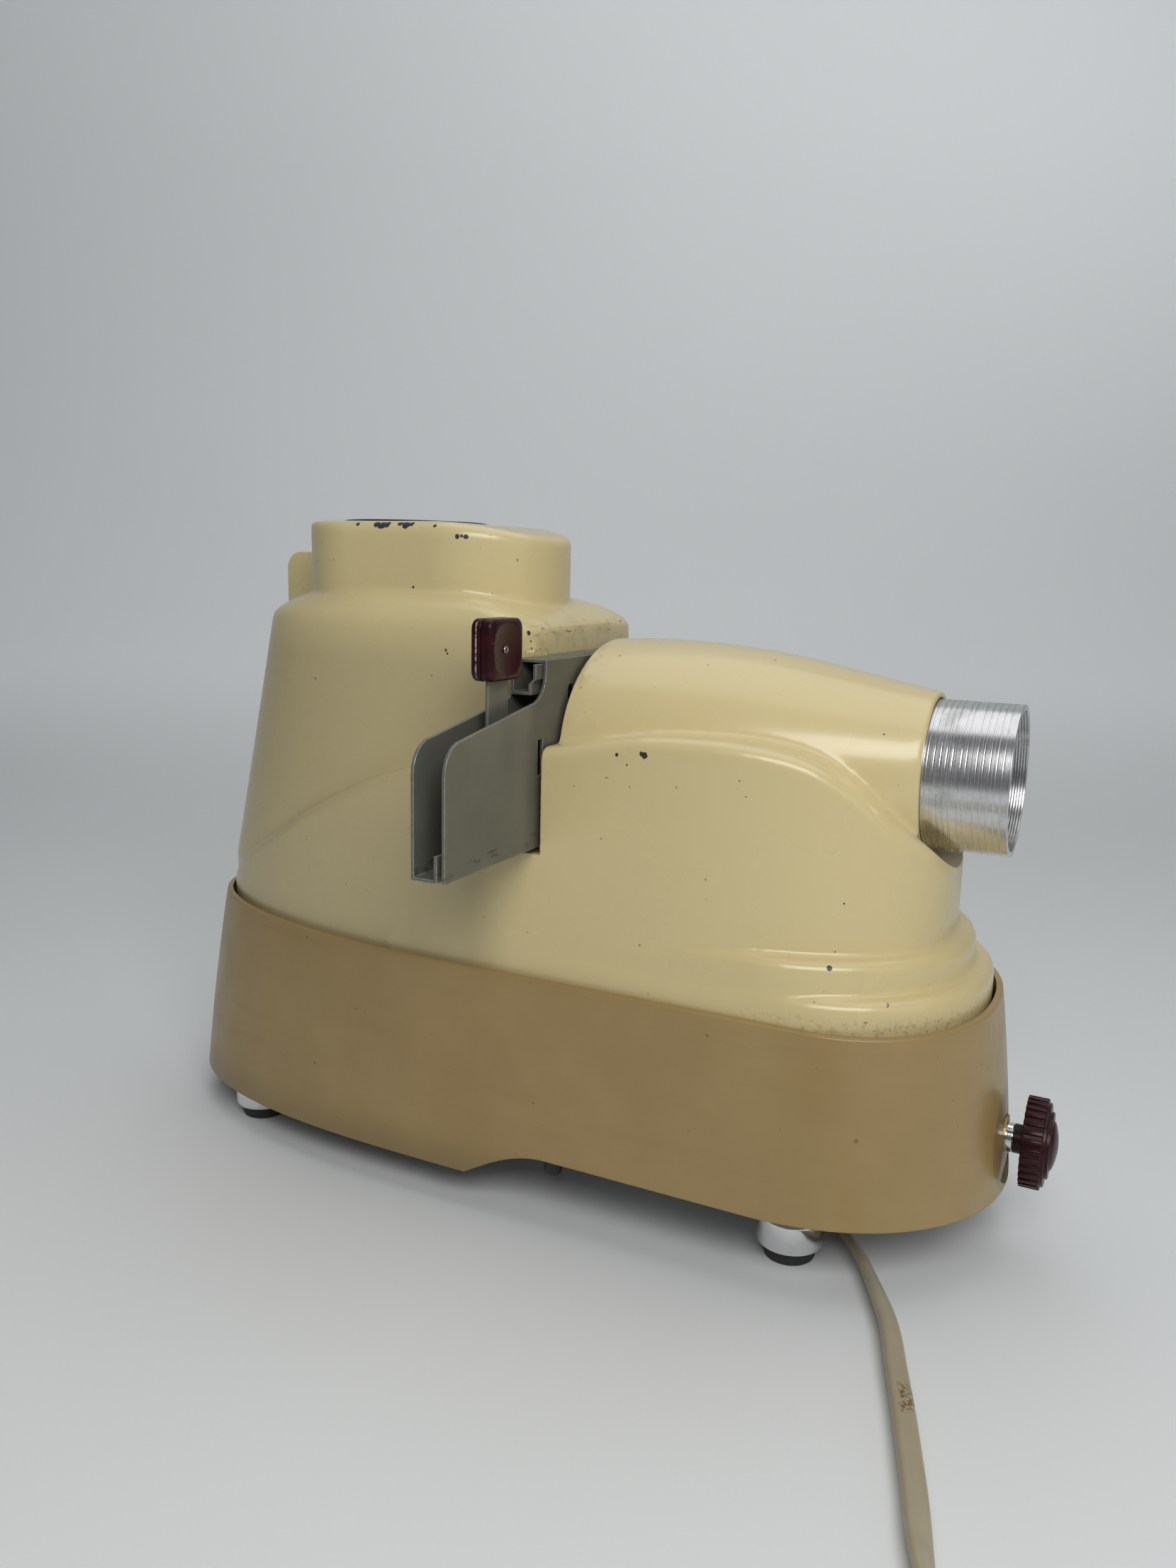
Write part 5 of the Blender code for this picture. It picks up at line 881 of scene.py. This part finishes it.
def skirt_ring(share, inset, level=None):
    lean = share + 0.10 * math.sin(math.pi * share)
    plan = boat(-between(0.3320, 0.3375, lean) + inset, 0.150 - inset, between(2.15, 2.70, share),
                between(0.0006, 0.0090, lean) - inset, between(0.055, 0.078, share) - inset,
                between(2.20, 2.05, share), between(0.0645, 0.0670, lean) - inset, 44)
    height = between(RIM, 0.0145, share) if level is None else level
    return [(x, y, height) for x, y in plan]


def make_base():
    shares = [k / 12 for k in range(12, -1, -1)]
    rings = [skirt_ring(share, 0.0) for share in shares[:-1]]
    rings += [skirt_ring(0.0, inset, RIM - drop) for inset, drop in rounding(0.0009, 4)]
    skirt = loft("skirt", rings)
    inner = [skirt_ring(share, 0.0026) for share in shares]
    inner[0] = [(x, y, z - 0.002) for x, y, z in inner[0]]
    inner[-1] = [(x, y, z + 0.002) for x, y, z in inner[-1]]
    skirt = carve(skirt, loft("inside", inner))
    knob = (0.0066, 0.0, SHAFT)
    boss = rod("boss", -0.0202, 0.0090, SPOT_FACE, "X", knob)
    boss = carve(boss, loft("core", [skirt_ring(share, 0.0013) for share in shares]), "INTERSECT")
    skirt = add_to(skirt, boss)
    skirt = carve(skirt, rod("spot_face", 0, 0.0110, SPOT_FACE, "X", knob))
    skirt = carve(skirt, rod("shaft_hole", -0.0300, 0.0200, 0.0078, "X", knob, 64))
    # the lower edge steps up along an eased line, from its low rear part to its high front part
    rear, low = -0.1730, 0.0145
    points = [(rear, low - 0.0020), (rear, low)]
    for k in range(1, 25):
        points.append((rear + 0.0330 * k / 24, low + 0.0125 * math.sin(0.5 * math.pi * k / 24)))
    points += [(0.0110, low + 0.0125), (0.0110, low - 0.0020)]
    skirt = carve(skirt, push("step", points, "Y", -0.071, 0.142))
    new_piece("base_moulding", skirt, "housing", "tan_plastic", ("base_skirt",), 32.0)


# lens barrel, its retainers and glass


def rounded_step(points, place, depth, half):
    """A narrow groove with eased shoulders at one place of the barrel."""
    points += [(place + half * share, BARREL - depth * part) for share, part in
               ((-1.0, 0.0), (-0.72, 0.85), (0.0, 1.0), (0.72, 0.85), (1.0, 0.0))]


def make_lens():
    inner = 0.0235
    outline = [(-0.0860, inner), (-0.0860, BARREL - 0.0002), (-0.0858, BARREL)]
    for place in (0.0259, 0.0239, 0.0219, 0.0201, 0.0182, 0.0155, 0.0139, 0.0107, 0.00865, 0.0066, 0.0045,
                  0.0025):
        rounded_step(outline, -place, 0.00032, 0.00034)
    outline += [(-0.0002, BARREL), (0.0, BARREL - 0.0002), (0.0, inner + 0.0005)]
    turns, pitch = 9, 0.0009
    for k in range(turns):
        outline += [(-0.0001 - k * pitch, inner), (-0.0001 - (k + 0.5) * pitch, inner + 0.0005)]
    outline.append((-0.0001 - turns * pitch, inner))
    new_piece("lens_tube", turn("lens_tube", outline, "X", (0, 0, AXIS), 144), "lens", "aluminium",
              ("lens_barrel",), 25.0, look="turned_aluminium")
    fit = inner - 0.0003
    for name, back, way in (("front", 0.0180, 1.0), ("rear", 0.0620, -1.0)):
        # two bulging faces, each a parabola from its middle to the rim
        profile = [(-0.0060 - 0.0009 * (1.0 - (k / 5) ** 2), fit * k / 5) for k in range(6)]
        profile += [(0.0030 * (1.0 - (k / 12) ** 2), fit * k / 12) for k in range(12, -1, -1)]
        glass = turn(name + "_glass", [(a * way, r) for a, r in profile], "X", (-back, 0, AXIS), 96)
        new_piece(name + "_lens_element", glass, "lens", "clear_glass", ("lens_" + name + "_glass",))
        ring = [(0.0003, fit - 0.0005), (0.0003, fit), (0.0033, fit), (0.0033, fit - 0.0018),
                (0.0031, fit - 0.0022), (0.0020, fit - 0.0021)]
        retainer = turn(name + "_ring", [(a * way, r) for a, r in ring], "X", (-back, 0, AXIS), 96)
        new_piece(name + "_retaining_ring", retainer, "lens", "black_enamel",
                  ("lens_" + name + "_retainer",))


# vent disc with its radial louvres


def make_vent():
    top, low = COLLAR_TOP + 0.0007, COLLAR_TOP - 0.0013
    disc = turn("disc", ((low, 0), (low, 0.0284), (low + 0.0001, 0.0285), (top - 0.0004, 0.0285),
                         (top - 0.0001, 0.0283), (top, 0.0280), (top, 0.0240), (top - 0.0002, 0.0236),
                         (top - 0.0002, 0)), "Z", count=120)
    cutter = push("louvre", ((-0.0075, -0.00113), (0.0075, -0.0020), (0.0075, 0.0020), (-0.0075, 0.00113)), "Z",
                  low - 0.002, 0.006)
    disc = carve(disc, moved(repeated(cutter, RING, "black_enamel", 10, 0.0145), (0, 0, 0), math.tau * 0.025))
    disc = moved(disc, (CHIMNEY, 0, 0))
    new_piece("chimney_cover", disc, "housing", "black_enamel", ("vent_disc",), 30.0)


# rear fin


def make_fin():
    foot, back = between(0.1080, SHOULDER, 0.72), between(0.3270, 0.3030, 0.72)
    rear, top = 0.3132, 0.2380
    outline = [(-back, foot), (-0.2845, foot), (-0.2845, top)]
    for k in range(13):
        angle = math.radians(90.0 + 7.5 * k)
        outline.append((-rear + 0.0075 * (1.0 + math.cos(angle)), top - 0.0075 * (1.0 - math.sin(angle))))
    outline.append((-rear, top - 0.0220))
    fin = eased_edges(push("fin", outline, "Y", 0.0080, 0.0025), 0.0006, 3, 60.0)
    fin = carve(fin, tower_form(-0.0003, 24, 4))
    new_piece("tower_fin", fin, "housing", "cream_enamel", ("rear_fin",))


# changer front plate: the solid's own mesh with a rounded slot beside the nose


def make_changer_plate():
    source = next(item for item in scene.objects if item.get("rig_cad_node") == "changer_front_plate")
    plate = source.data.copy()
    plate.transform(Matrix.Translation(-ROOT) @ source.matrix_world)
    slot = push("slot", soft_box(-0.0392, 0.1842, -0.0345, 0.1938, 0.0021, 6), "X", -0.1500, 0.0030)
    new_piece("changer_cheek", carve(plate, slot), "housing", "grey_enamel", ("changer_front_plate",), 30.0)


# elevating knob with its teeth, hub and spindle


def make_knob():
    rear, thick = 0.0123, 0.0067
    tooth = push("tooth", soft_box(-0.0014, -0.00082, 0.0, 0.00082, 0.0003, 3), "Z", 0.0, thick)
    tooth = eased_edges(tooth, 0.00025, 2, 60.0)
    teeth = repeated(tooth, RING, "maroon_plastic", 30, 0.0155)
    core = turn("core", ((0.0, 0), (0.0, 0.0141), (0.0004, 0.0147), (thick - 0.0004, 0.0147), (thick, 0.0143),
                         (thick + 0.0008, 0.0142), (thick + 0.0011, 0.0139), (thick + 0.0011, 0.0114),
                         (thick + 0.0020, 0.0113), (thick + 0.0022, 0.0110), (thick + 0.0022, 0.0087),
                         (thick + 0.0029, 0.0079), (thick + 0.0035, 0.0063), (thick + 0.0040, 0.0043),
                         (thick + 0.0043, 0.0021), (thick + 0.0044, 0)), "Z", count=120)
    hub = turn("hub", ((-0.0034, 0.0043), (-0.0034, 0.0048), (-0.0032, 0.0050), (0.0, 0.0050), (0.0, 0.0043)),
               "Z", count=64)
    knob = joined("knob", [teeth, core, hub])
    # laid out along Z, and turned to lie along X
    knob.transform(Matrix.Translation((rear, 0.0, SHAFT)) @ Matrix(((0, 0, 1), (1, 0, 0), (0, 1, 0))).to_4x4())
    new_piece("tilt_knob", knob, "knob", "maroon_plastic", ("elevating_knob",), 30.0)
    spindle = turn("spindle", ((-0.0670, 0), (-0.0670, 0.0058), (-0.0666, 0.0062), (-0.0494, 0.0062),
                               (-0.0490, 0.0058), (-0.0490, 0.0050), (rear - 0.0036, 0.0050),
                               (rear - 0.0036, 0.0042),
                               (rear - 0.0001, 0.0042), (rear - 0.0001, 0)), "X", (0, 0, SHAFT), 64)
    new_piece("tilt_spindle", spindle, "knob", "steel", ("elevating_shaft",), 30.0, look="chrome")


# pusher grip: two moulded halves, a wide shallow dish and an eyelet


def make_grip():
    low, high, half, thick, aside = 0.1976, 0.2176, 0.0104, 0.0043, -0.0780
    for name, way in (("front", 1.0), ("rear", -1.0)):
        rings = []
        for place, inset in ((0.0, 0.00016), (0.05, 0.00005), (0.12, 0.0), (0.62, 0.0), (0.74, 0.00016),
                             (0.84, 0.0005), (0.92, 0.00105), (0.97, 0.00160), (1.0, 0.00225)):
            outline = soft_box(-half + inset, low + inset, half - inset, high - inset, 0.0031 - inset * 0.5, 8)
            x = between(0.00015, thick, place) * way
            rings.append([(x, y, z) for y, z in outline])
        grip = loft(name + "_half", rings)
        grip = carve(grip, brick("pocket", (-0.0008, -0.00655, low - 0.002), (0.0008, 0.00655, low + 0.0163)))
        if way > 0:
            bowl = 0.0310
            centre = thick + bowl - 0.0014
            reach = math.sqrt(bowl ** 2 - (centre - thick) ** 2)
            dish = [(centre - math.sqrt(bowl ** 2 - (reach * k / 14) ** 2), reach * k / 14) for k in range(15)]
            dish += [(0.0063, reach), (0.0063, 0)]
            grip = carve(grip, turn("dish", dish, "X", (0, 0, (low + high) * 0.5), 72))
        grip = moved(grip, (GATE, aside, 0.0))
        new_piece("grip_" + name, grip, "pusher", "maroon_plastic", ("pusher_knob_" + name,), 28.0)
    eyelet = turn("eyelet", ((0.0021, 0.00060), (0.0021, 0.0008), (0.0029, 0.0011), (0.0031, 0.0013),
                             (0.0033, 0.0013), (0.0036, 0.0011), (0.0036, 0.0009), (0.0034, 0.00065)), "X",
                  (GATE, aside, (low + high) * 0.5), 48)
    new_piece("grip_eyelet", eyelet, "pusher", "steel", ("pusher_rivet",), 40.0, look="eyelet_metal")


# feet and switch


def make_feet():
    rear, front = (-0.2905, 0.0408, 0.0287, "housing"), (-0.0580, 0.0370, 0.0254, "front_leg")
    for name, way, (x, side, top, body) in (("rear_near", -1.0, rear), ("rear_far", 1.0, rear),
                                            ("front_near", -1.0, front), ("front_far", 1.0, front)):
        y = side * way
        cup = turn("cup", ((0.0045, 0), (0.0045, 0.0102), (0.0049, 0.0108), (0.0056, 0.0115), (0.0064, 0.0117),
                           (0.0150, 0.0117), (0.0160, 0.0115), (0.0167, 0.0109), (0.0172, 0.0100),
                           (0.0175, 0.0090), (0.0175, 0.0070), (top, 0.0070), (top, 0)), "Z", (x, y, 0), 72)
        new_piece("cup_" + name, cup, body, "chrome", ("foot_" + name,), 30.0)
        pad = turn("pad", ((0.0, 0), (0.0, 0.0082), (0.0003, 0.0087), (0.0010, 0.0090), (0.0042, 0.0090),
                           (0.0042, 0)), "Z", (x, y, 0), 72)
        new_piece("tread_" + name, pad, body, "rubber", ("pad_" + name,), 40.0)


def make_switch():
    lever = turn("lever", ((-0.0171, 0), (-0.0171, 0.0018), (-0.0167, 0.0028), (-0.0160, 0.0033),
                           (-0.0150, 0.0034), (-0.0138, 0.0033), (-0.0046, 0.0024), (-0.0046, 0)), "Z",
                 count=48)
    x, y = -0.1435, -0.0480
    lever = moved(lever, (x, y, 0.0290), 0.16, "Y")
    new_piece("toggle", lever, "switch", "black_plastic", ("switch_lever",), 40.0)
    nut = turn("nut", ((0.0267, 0.0061), (0.0267, 0.0079), (0.0270, 0.0082), (0.0284, 0.0082), (0.0287, 0.0079),
                       (0.0287, 0.0061)), "Z", count=60)
    knurl = push("knurl", soft_box(-0.0004, -0.0003, 0.0004, 0.0003, 0.0001, 2), "Z", 0.0270, 0.0014)
    nut = moved(joined("nut", [nut, repeated(knurl, RING, "steel", 36, 0.0083)]), (x, y, 0.0))
    new_piece("toggle_nut", nut, "housing", "steel", ("switch_nut",), 30.0)


# strain relief and cord: flat twin lead laid along the same route as its solids

EXIT, EXIT_TURN = (-0.0800, 0.0205), -0.765
LEAD_WIDTH = 0.0071
LEVEL = LEAD_WIDTH * 0.5 + 0.0004
COIL_OUTER, COIL_PITCH, COIL_ENTRY = 0.0543, 0.0078, 0.10
COIL_CENTRE = Vector((0.0270 - COIL_OUTER * math.cos(COIL_ENTRY),
                      -0.2580 - COIL_OUTER * math.sin(COIL_ENTRY), 0.0))
# points of the lead on its way to the coil: along and across in 0.1 m, height as a share of the exit's
ROUTE_SHARES = (
    (-0.670, 0.080, 0.42), (-0.580, -0.010, 0.10), (-0.500, -0.105, 0.0), (-0.430, -0.204, 0.0),
    (-0.396, -0.251, 0.0), (-0.330, -0.353, 0.0), (-0.248, -0.504, 0.0), (-0.168, -0.673, 0.0),
    (-0.104, -0.871, 0.0), (-0.050, -1.038, 0.0), (-0.003, -1.191, 0.0), (0.039, -1.331, 0.0),
    (0.074, -1.459, 0.0), (0.102, -1.550, 0.0), (0.134, -1.661, 0.0), (0.177, -1.840, 0.0),
    (0.214, -2.030, 0.0), (0.240, -2.210, 0.0), (0.259, -2.390, 0.0),
)


def make_relief():
    """Block held in the base plate and a tapered ribbed sleeve, laid along the cord's exit."""
    rings = []
    for place, width, low, high in ((-0.0330, 0.0150, 0.0085, 0.0282), (-0.0325, 0.0160, 0.0080, 0.0287),
                                    (-0.0248, 0.0160, 0.0080, 0.0287), (-0.0243, 0.0152, 0.0084, 0.0283),
                                    (-0.0240, 0.0120, 0.0090, 0.0210), (0.0, 0.0080, 0.0110, 0.0190)):
        rings.append([(place, y, z)
                      for y, z in soft_box(-width * 0.5, low, width * 0.5, high, width * 0.24, 6)])
    sleeve = loft("sleeve", rings)
    ribs = []
    for k in range(9):
        share = k / 8
        radius = between(0.0062, 0.0045, share)
        ribs.append(turn("rib", ((-0.0007, radius - 0.0012), (-0.0005, radius - 0.0002), (-0.0002, radius),
                                 (0.0002, radius), (0.0005, radius - 0.0002), (0.0007, radius - 0.0012)), "X",
                         (between(-0.0215, -0.0012, share), 0, 0.0150), 40))
    relief = moved(joined("relief", [sleeve] + ribs), (*EXIT, 0.0), EXIT_TURN)
    new_piece("cord_grip", relief, "housing", "black_plastic", ("strain_relief",), 40.0)


def even_route(points, step):
    route = [Vector(point) for point in points]
    ends = [route[0] * 2.0 - route[1]] + route + [route[-1] * 2.0 - route[-2]]
    fine = []
    for index in range(1, len(ends) - 2):
        a, b, c, d = ends[index - 1:index + 3]
        fine += [bent(a, b, c, d, part / 12) for part in range(12)]
    fine.append(route[-1])
    total = sum((q - p).length for p, q in zip(fine, fine[1:]))
    count = max(2, round(total / step))
    even = [fine[0]]
    passed = 0.0
    for p, q in zip(fine, fine[1:]):
        length = (q - p).length
        while len(even) < count and passed + length >= total * len(even) / count:
            even.append(p.lerp(q, (total * len(even) / count - passed) / length))
        passed += length
    even.append(fine[-1])
    return even


def cord_line():
    """Centre line of the whole lead in the row frame, from the strain relief to the plug."""
    gap, layer = 0.0003, 0.0077
    heading = Vector((math.cos(EXIT_TURN), math.sin(EXIT_TURN), 0.0))
    start = Vector((*EXIT, 0.0150)) + heading * gap
    inner = COIL_OUTER - COIL_PITCH * 3
    loop, half_turn, lower, upper = 24, 12, 72, 66
    coil = []
    for index in range(lower + half_turn + upper + 1):
        angle = COIL_ENTRY - math.tau * index / loop
        if index <= lower:
            radius, height = COIL_OUTER - COIL_PITCH * index / loop, LEVEL
        elif index <= lower + half_turn:
            share = (index - lower) / half_turn
            radius = inner - COIL_PITCH * 0.20 * math.sin(math.pi * share)
            height = LEVEL + layer * eased(share)
        else:
            radius = inner + COIL_PITCH * (index - lower - half_turn) / loop
            height = LEVEL + layer
        coil.append(COIL_CENTRE + Vector((radius * math.cos(angle), radius * math.sin(angle), height)))
    lead = (coil[0] - coil[1]).normalized()
    join = coil[0] + lead * gap
    route = [start, start + heading * LEAD_WIDTH]
    route += [Vector((x * 0.1, y * 0.1, LEVEL + rise * 0.0111)) for x, y, rise in ROUTE_SHARES]
    route += [join + lead * LEAD_WIDTH, join]
    line = even_route(route, 0.0035)
    away = (coil[-1] - coil[-2]).normalized()
    low_end = coil[-1] + away * 0.0900
    tail = []
    for step in range(1, 13):
        share = step / 12
        point = coil[-1].lerp(low_end, share)
        point.z = coil[-1].z + (0.0079 - coil[-1].z) * eased(share * 1.15)
        tail.append(point)
    return line + coil + tail


def twin_section():
    """Outline of the flat lead: two round cores with a groove between them, (across, up)."""
    points = []
    core, middle = 0.00190, 0.00165
    for side in (1.0, -1.0):
        for step in range(9):
            angle = math.radians(-118.0 + 236.0 * step / 8)
            points.append((side * (middle + core * math.cos(angle)), side * core * math.sin(angle)))
    return points


def make_cord():
    line = cord_line()
    section = twin_section()
    rings = []
    lengths = [0.0]
    for a, b in zip(line, line[1:]):
        lengths.append(lengths[-1] + (b - a).length)
    for index, place in enumerate(line):
        before, after = line[max(0, index - 1)], line[min(len(line) - 1, index + 1)]
        along = (after - before).normalized()
        side = along.cross(Vector((0.0, 0.0, 1.0))).normalized()
        up = side.cross(along).normalized()
        turned_by = twist_at(lengths[index])
        across = side * math.cos(turned_by) + up * math.sin(turned_by)
        rise = up * math.cos(turned_by) - side * math.sin(turned_by)
        rings.append([place + across * a + rise * b for a, b in section])
    heading = (line[-1] - line[-2]).normalized()
    cord = new_piece("mains_cord", loft("mains_cord", rings), "housing", "cream_cord", ("cord", "cord_coil"),
                     60.0)
    pieces = make_plug(line[-1] + heading * 0.0003, math.atan2(heading.y, heading.x)) + [make_tie()]


def twist_at(s):
    """Twist of the flat lead about its line, in radians, at a distance from the cord grip."""
    knots = ((0.0, 0.0), (0.075, 0.95), (0.115, 0.45), (0.150, 0.15), (0.185, 0.2), (0.215, 1.2),
             (0.245, 2.7), (0.30, 3.14))
    if s >= knots[-1][0]:
        return knots[-1][1]
    for (a, low), (b, high) in zip(knots, knots[1:]):
        if s <= b:
            return between(low, high, eased((s - a) / (b - a)))
    return 0.0


def make_plug(tip, heading):
    rings = []
    for place, share in ((0.0, 0.70), (0.02, 0.72), (0.12, 0.80), (0.25, 0.88), (0.42, 0.95), (0.6, 1.0),
                         (0.96, 1.0), (1.0, 0.97)):
        width, height = 0.0120 * share, 0.0075 * between(share, 1.0, 0.4)
        rings.append([(0.0300 * place, y, z) for y, z in soft_box(-width, -height, width, height, 0.0028, 6)])
    body = loft("body", rings)
    for level in (0.0069, -0.0089):
        groove = brick("groove", (0.0, -0.0070, level), (0.0011, 0.0070, level + 0.0020))
        grooves = moved(repeated(groove, ROW, "cream_cord", 5, step=(0.0026, 0.0, 0.0)), (0.0105, 0.0, 0.0))
        body = carve(body, grooves)
    pieces = [new_piece("plug_moulding", moved(body, tip, heading), "housing", "cream_cord",
                        ("plug_body",), 32.0)]
    for name, side in (("near", -0.00635), ("far", 0.00635)):
        outline = soft_box(0.0303, -0.0031, 0.0473, 0.0031, 0.0012, 5)
        blade = push("blade", outline, "Y", -0.00075, 0.0015)
        pin = rod("pin", -0.003, 0.003, 0.0016, "Z", (0.0, 0.0, 0.0), 32)
        blade = carve(blade, moved(moved(pin, turned_by=math.pi * 0.5, about="X"), (0.0438, 0.0, 0.0)))
        blade = moved(moved(blade, (0.0, side, 0.0)), tip, heading)
        pieces.append(new_piece("contact_" + name, blade, "housing", "brass", ("plug_blade_" + name,), 30.0))
    return pieces


def make_tie():
    """Strap round the wound cord on the side that faces the projector."""
    angle = COIL_ENTRY + math.pi * 0.5
    reach = Vector((math.cos(angle), math.sin(angle), 0.0))
    along = Vector((-reach.y, reach.x, 0.0))
    near, far, thick, half = 0.0288, 0.0525, 0.0003, 0.0045
    path = soft_box(near, 0.0001, far, 0.0157, 0.0034, 6)
    inside = soft_box(near + thick, 0.0004, far - thick, 0.0154, 0.0031, 6)
    rings = []
    for outline, width in ((path, -half), (path, half), (inside, half), (inside, -half)):
        rings.append([COIL_CENTRE + reach * a + Vector((0.0, 0.0, b)) + along * width for a, b in outline])
    strap = loft("strap", rings, looped=True)
    buckle = brick("buckle", (-0.0050, -0.0055, 0.0150), (0.0050, 0.0055, 0.0160))
    buckle = moved(eased_edges(buckle, 0.0004, 2), COIL_CENTRE + reach * 0.0405, angle)
    return new_piece("coil_tie", joined("tie", [strap, buckle]), "housing", "black_plastic")


def make_screws():
    head = turn("head", ((-0.0016, 0), (-0.0016, 0.0016), (-0.0014, 0.0023), (-0.0009, 0.0030),
                         (-0.0002, 0.0033), (0.0, 0.0033), (0.0, 0)), "Z", count=32)
    head = carve(head, brick("slot", (-0.0040, -0.0004, -0.0030), (0.0040, 0.0004, -0.0009)))
    rows = [moved(repeated(head.copy(), ROW, "steel", 2, step=(0.1450, 0.0, 0.0)), (-0.2450, side, 0.0289))
            for side in (-0.0450, 0.0450)]
    new_piece("plate_screws", joined("screws", rows), "housing", "steel")


SKIN = casting_skin()
SURFACE = BVHTree.FromPolygons([vertex.co + ROOT for vertex in SKIN.vertices],
                               [tuple(polygon.vertices) for polygon in SKIN.polygons])
LOOKS = {
    "cream_enamel": cream_enamel(on_surface(SURFACE, CHIP_MARKS), on_surface(SURFACE, RIM_MARKS)),
    "tan_plastic": tan_plastic(),
    "grey_enamel": grey_enamel(),
    "black_enamel": worn_paint("black_enamel_look", (0.020, 0.020, 0.024), (0.30, 0.29, 0.27), 0.0005,
                               0.5, 0.36),
    "maroon_plastic": maroon_plastic(),
    "black_plastic": plain("black_plastic_look", (0.020, 0.020, 0.020), 0.34, 420.0, 0.10, 0.10,
                           (0.25, 0.24, 0.22), 0.1),
    "turned_aluminium": turned_metal("turned_aluminium_look", (0.72, 0.72, 0.73), 0.23,
                                     (0.34, 0.33, 0.31), 0.45),
    "aluminium": smooth_metal("mill_sheet_look", (0.74, 0.74, 0.75), 0.22, 0.1, 160.0),
    "chrome": smooth_metal("chrome_look", (0.80, 0.80, 0.81), 0.05, 0.25),
    "steel": smooth_metal("plated_steel_look", (0.48, 0.48, 0.47), 0.33, 0.35, 120.0),
    "brass": smooth_metal("brass_look", (0.40, 0.30, 0.15), 0.36, 0.55, 300.0),
    "eyelet_metal": smooth_metal("eyelet_look", (0.40, 0.38, 0.33), 0.30, 0.7, 700.0),
    "rubber": plain("rubber_look", (0.018, 0.018, 0.018), 0.62, 900.0, 0.25, 0.25, (0.20, 0.19, 0.17)),
    "felt": plain("felt_look", (0.022, 0.022, 0.022), 0.88, 1600.0, 0.8, 0.3, (0.12, 0.11, 0.10)),
    "clear_glass": clear_glass("lens_glass_look", (0.90, 0.95, 0.96)),
    "cream_cord": cord_vinyl(),
}
SLOT_OF = {row["node"]: row["material_slot"] for row in frame["record"]["subparts"]}


def dress_nodes():
    for item in list(scene.objects):
        node = item.get("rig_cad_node")
        if node is None:
            continue
        for slot in item.material_slots:
            slot.material = LOOKS[SLOT_OF[node]]


dress_nodes()

new_piece("lamphouse_casting", SKIN, "housing", "cream_enamel", ("body_casting",), 50.0)
make_base()
make_lens()
make_vent()
make_fin()
make_changer_plate()
make_knob()
make_grip()
make_feet()
make_switch()
make_relief()
make_screws()
make_cord()

# stage and light


def make_stage():
    flat_end, bend = 0.55, 0.75
    profile = [(-1.6, 0.0), (flat_end, 0.0)]
    for step in range(1, 13):
        angle = math.radians(90.0 * step / 12)
        profile.append((flat_end + bend * math.sin(angle), bend * (1.0 - math.cos(angle))))
    profile.append((flat_end + bend, 3.2))
    ahead = Vector((-math.sin(YAW), math.cos(YAW), 0.0))
    across = Vector((ahead.y, -ahead.x, 0.0))
    bm = bmesh.new()
    rows = []
    for depth, height in profile:
        points = [ahead * depth + across * side * 0.7 for side in range(-4, 5)]
        rows.append([bm.verts.new((point.x, point.y, height)) for point in points])
    for low, high in zip(rows, rows[1:]):
        for index in range(len(low) - 1):
            bm.faces.new((low[index], low[index + 1], high[index + 1], high[index]))
    for face in bm.faces:
        face.smooth = True
    mesh = bpy.data.meshes.new("backdrop")
    bm.to_mesh(mesh)
    bm.free()
    item = bpy.data.objects.new("backdrop", mesh)
    scene.collection.objects.link(item)
    n = Nodes("backdrop_look")
    x, _, z = n.axes()
    tone = n.mix(n.patches(0.3, 0.7, 3.0, 3.0), (0.735, 0.760, 0.770), (0.750, 0.775, 0.785))
    # painted light: the backdrop's colour is made paler up the wall, more so towards +x
    tone = n.tint(tone, (0.960, 0.985, 0.990), n.ramp(z, 0.10, 0.90), n.ramp(x, -1.10, 0.80, 0.55, 1.0))
    n.finish(tone, 0.75)
    # painted light: the backdrop glows, a little just above the floor and more up the wall towards +x, seen by
    # the camera only, so it lights nothing
    painted_wall_glow = n.math("ADD", n.ramp(z, 0.0, 0.12, 0.0, 0.085),
                  n.both(n.ramp(z, 0.25, 0.90), n.ramp(x, -1.10, 0.10), 0.090))
    seen = n.add("ShaderNodeLightPath").outputs["Is Camera Ray"]
    n.link((0.92, 0.97, 1.0), n.shader.inputs["Emission Color"])
    n.link(n.both(painted_wall_glow, seen), n.shader.inputs["Emission Strength"])
    mesh.materials.append(n.material)


def area(name, place, target, size, size_y, power, colour):
    data = bpy.data.lights.new(name, "AREA")
    data.shape = "RECTANGLE"
    data.size, data.size_y = size, size_y
    data.energy, data.color = power, colour
    item = bpy.data.objects.new(name, data)
    scene.collection.objects.link(item)
    item.location = place
    item.rotation_mode = "QUATERNION"
    item.rotation_quaternion = (Vector(target) - Vector(place)).to_track_quat("-Z", "Y")


def light_scene():
    world = bpy.data.worlds.new("soft_room")
    world.use_nodes = True
    background = world.node_tree.nodes["Background"]
    background.inputs["Color"].default_value = (0.93, 0.97, 1.0, 1.0)
    background.inputs["Strength"].default_value = 0.11
    scene.world = world
    scene.view_settings.view_transform = "Standard"
    scene.view_settings.look = "None"
    scene.view_settings.exposure = 0.0
    area("top_softbox", (0.10, 0.35, 1.75), (0.05, 0.10, 0.0), 2.2, 1.6, 12.0, (1.0, 1.0, 1.0))
    area("window_front", (0.42, -0.61, 0.66), (0.09, 0.0, 0.13), 0.62, 0.34, 4.4, (1.0, 0.99, 0.97))
    area("fill_right", (1.45, -0.35, 0.60), (0.10, 0.0, 0.10), 0.80, 0.80, 1.0, (0.98, 0.99, 1.0))


make_stage()
light_scene()
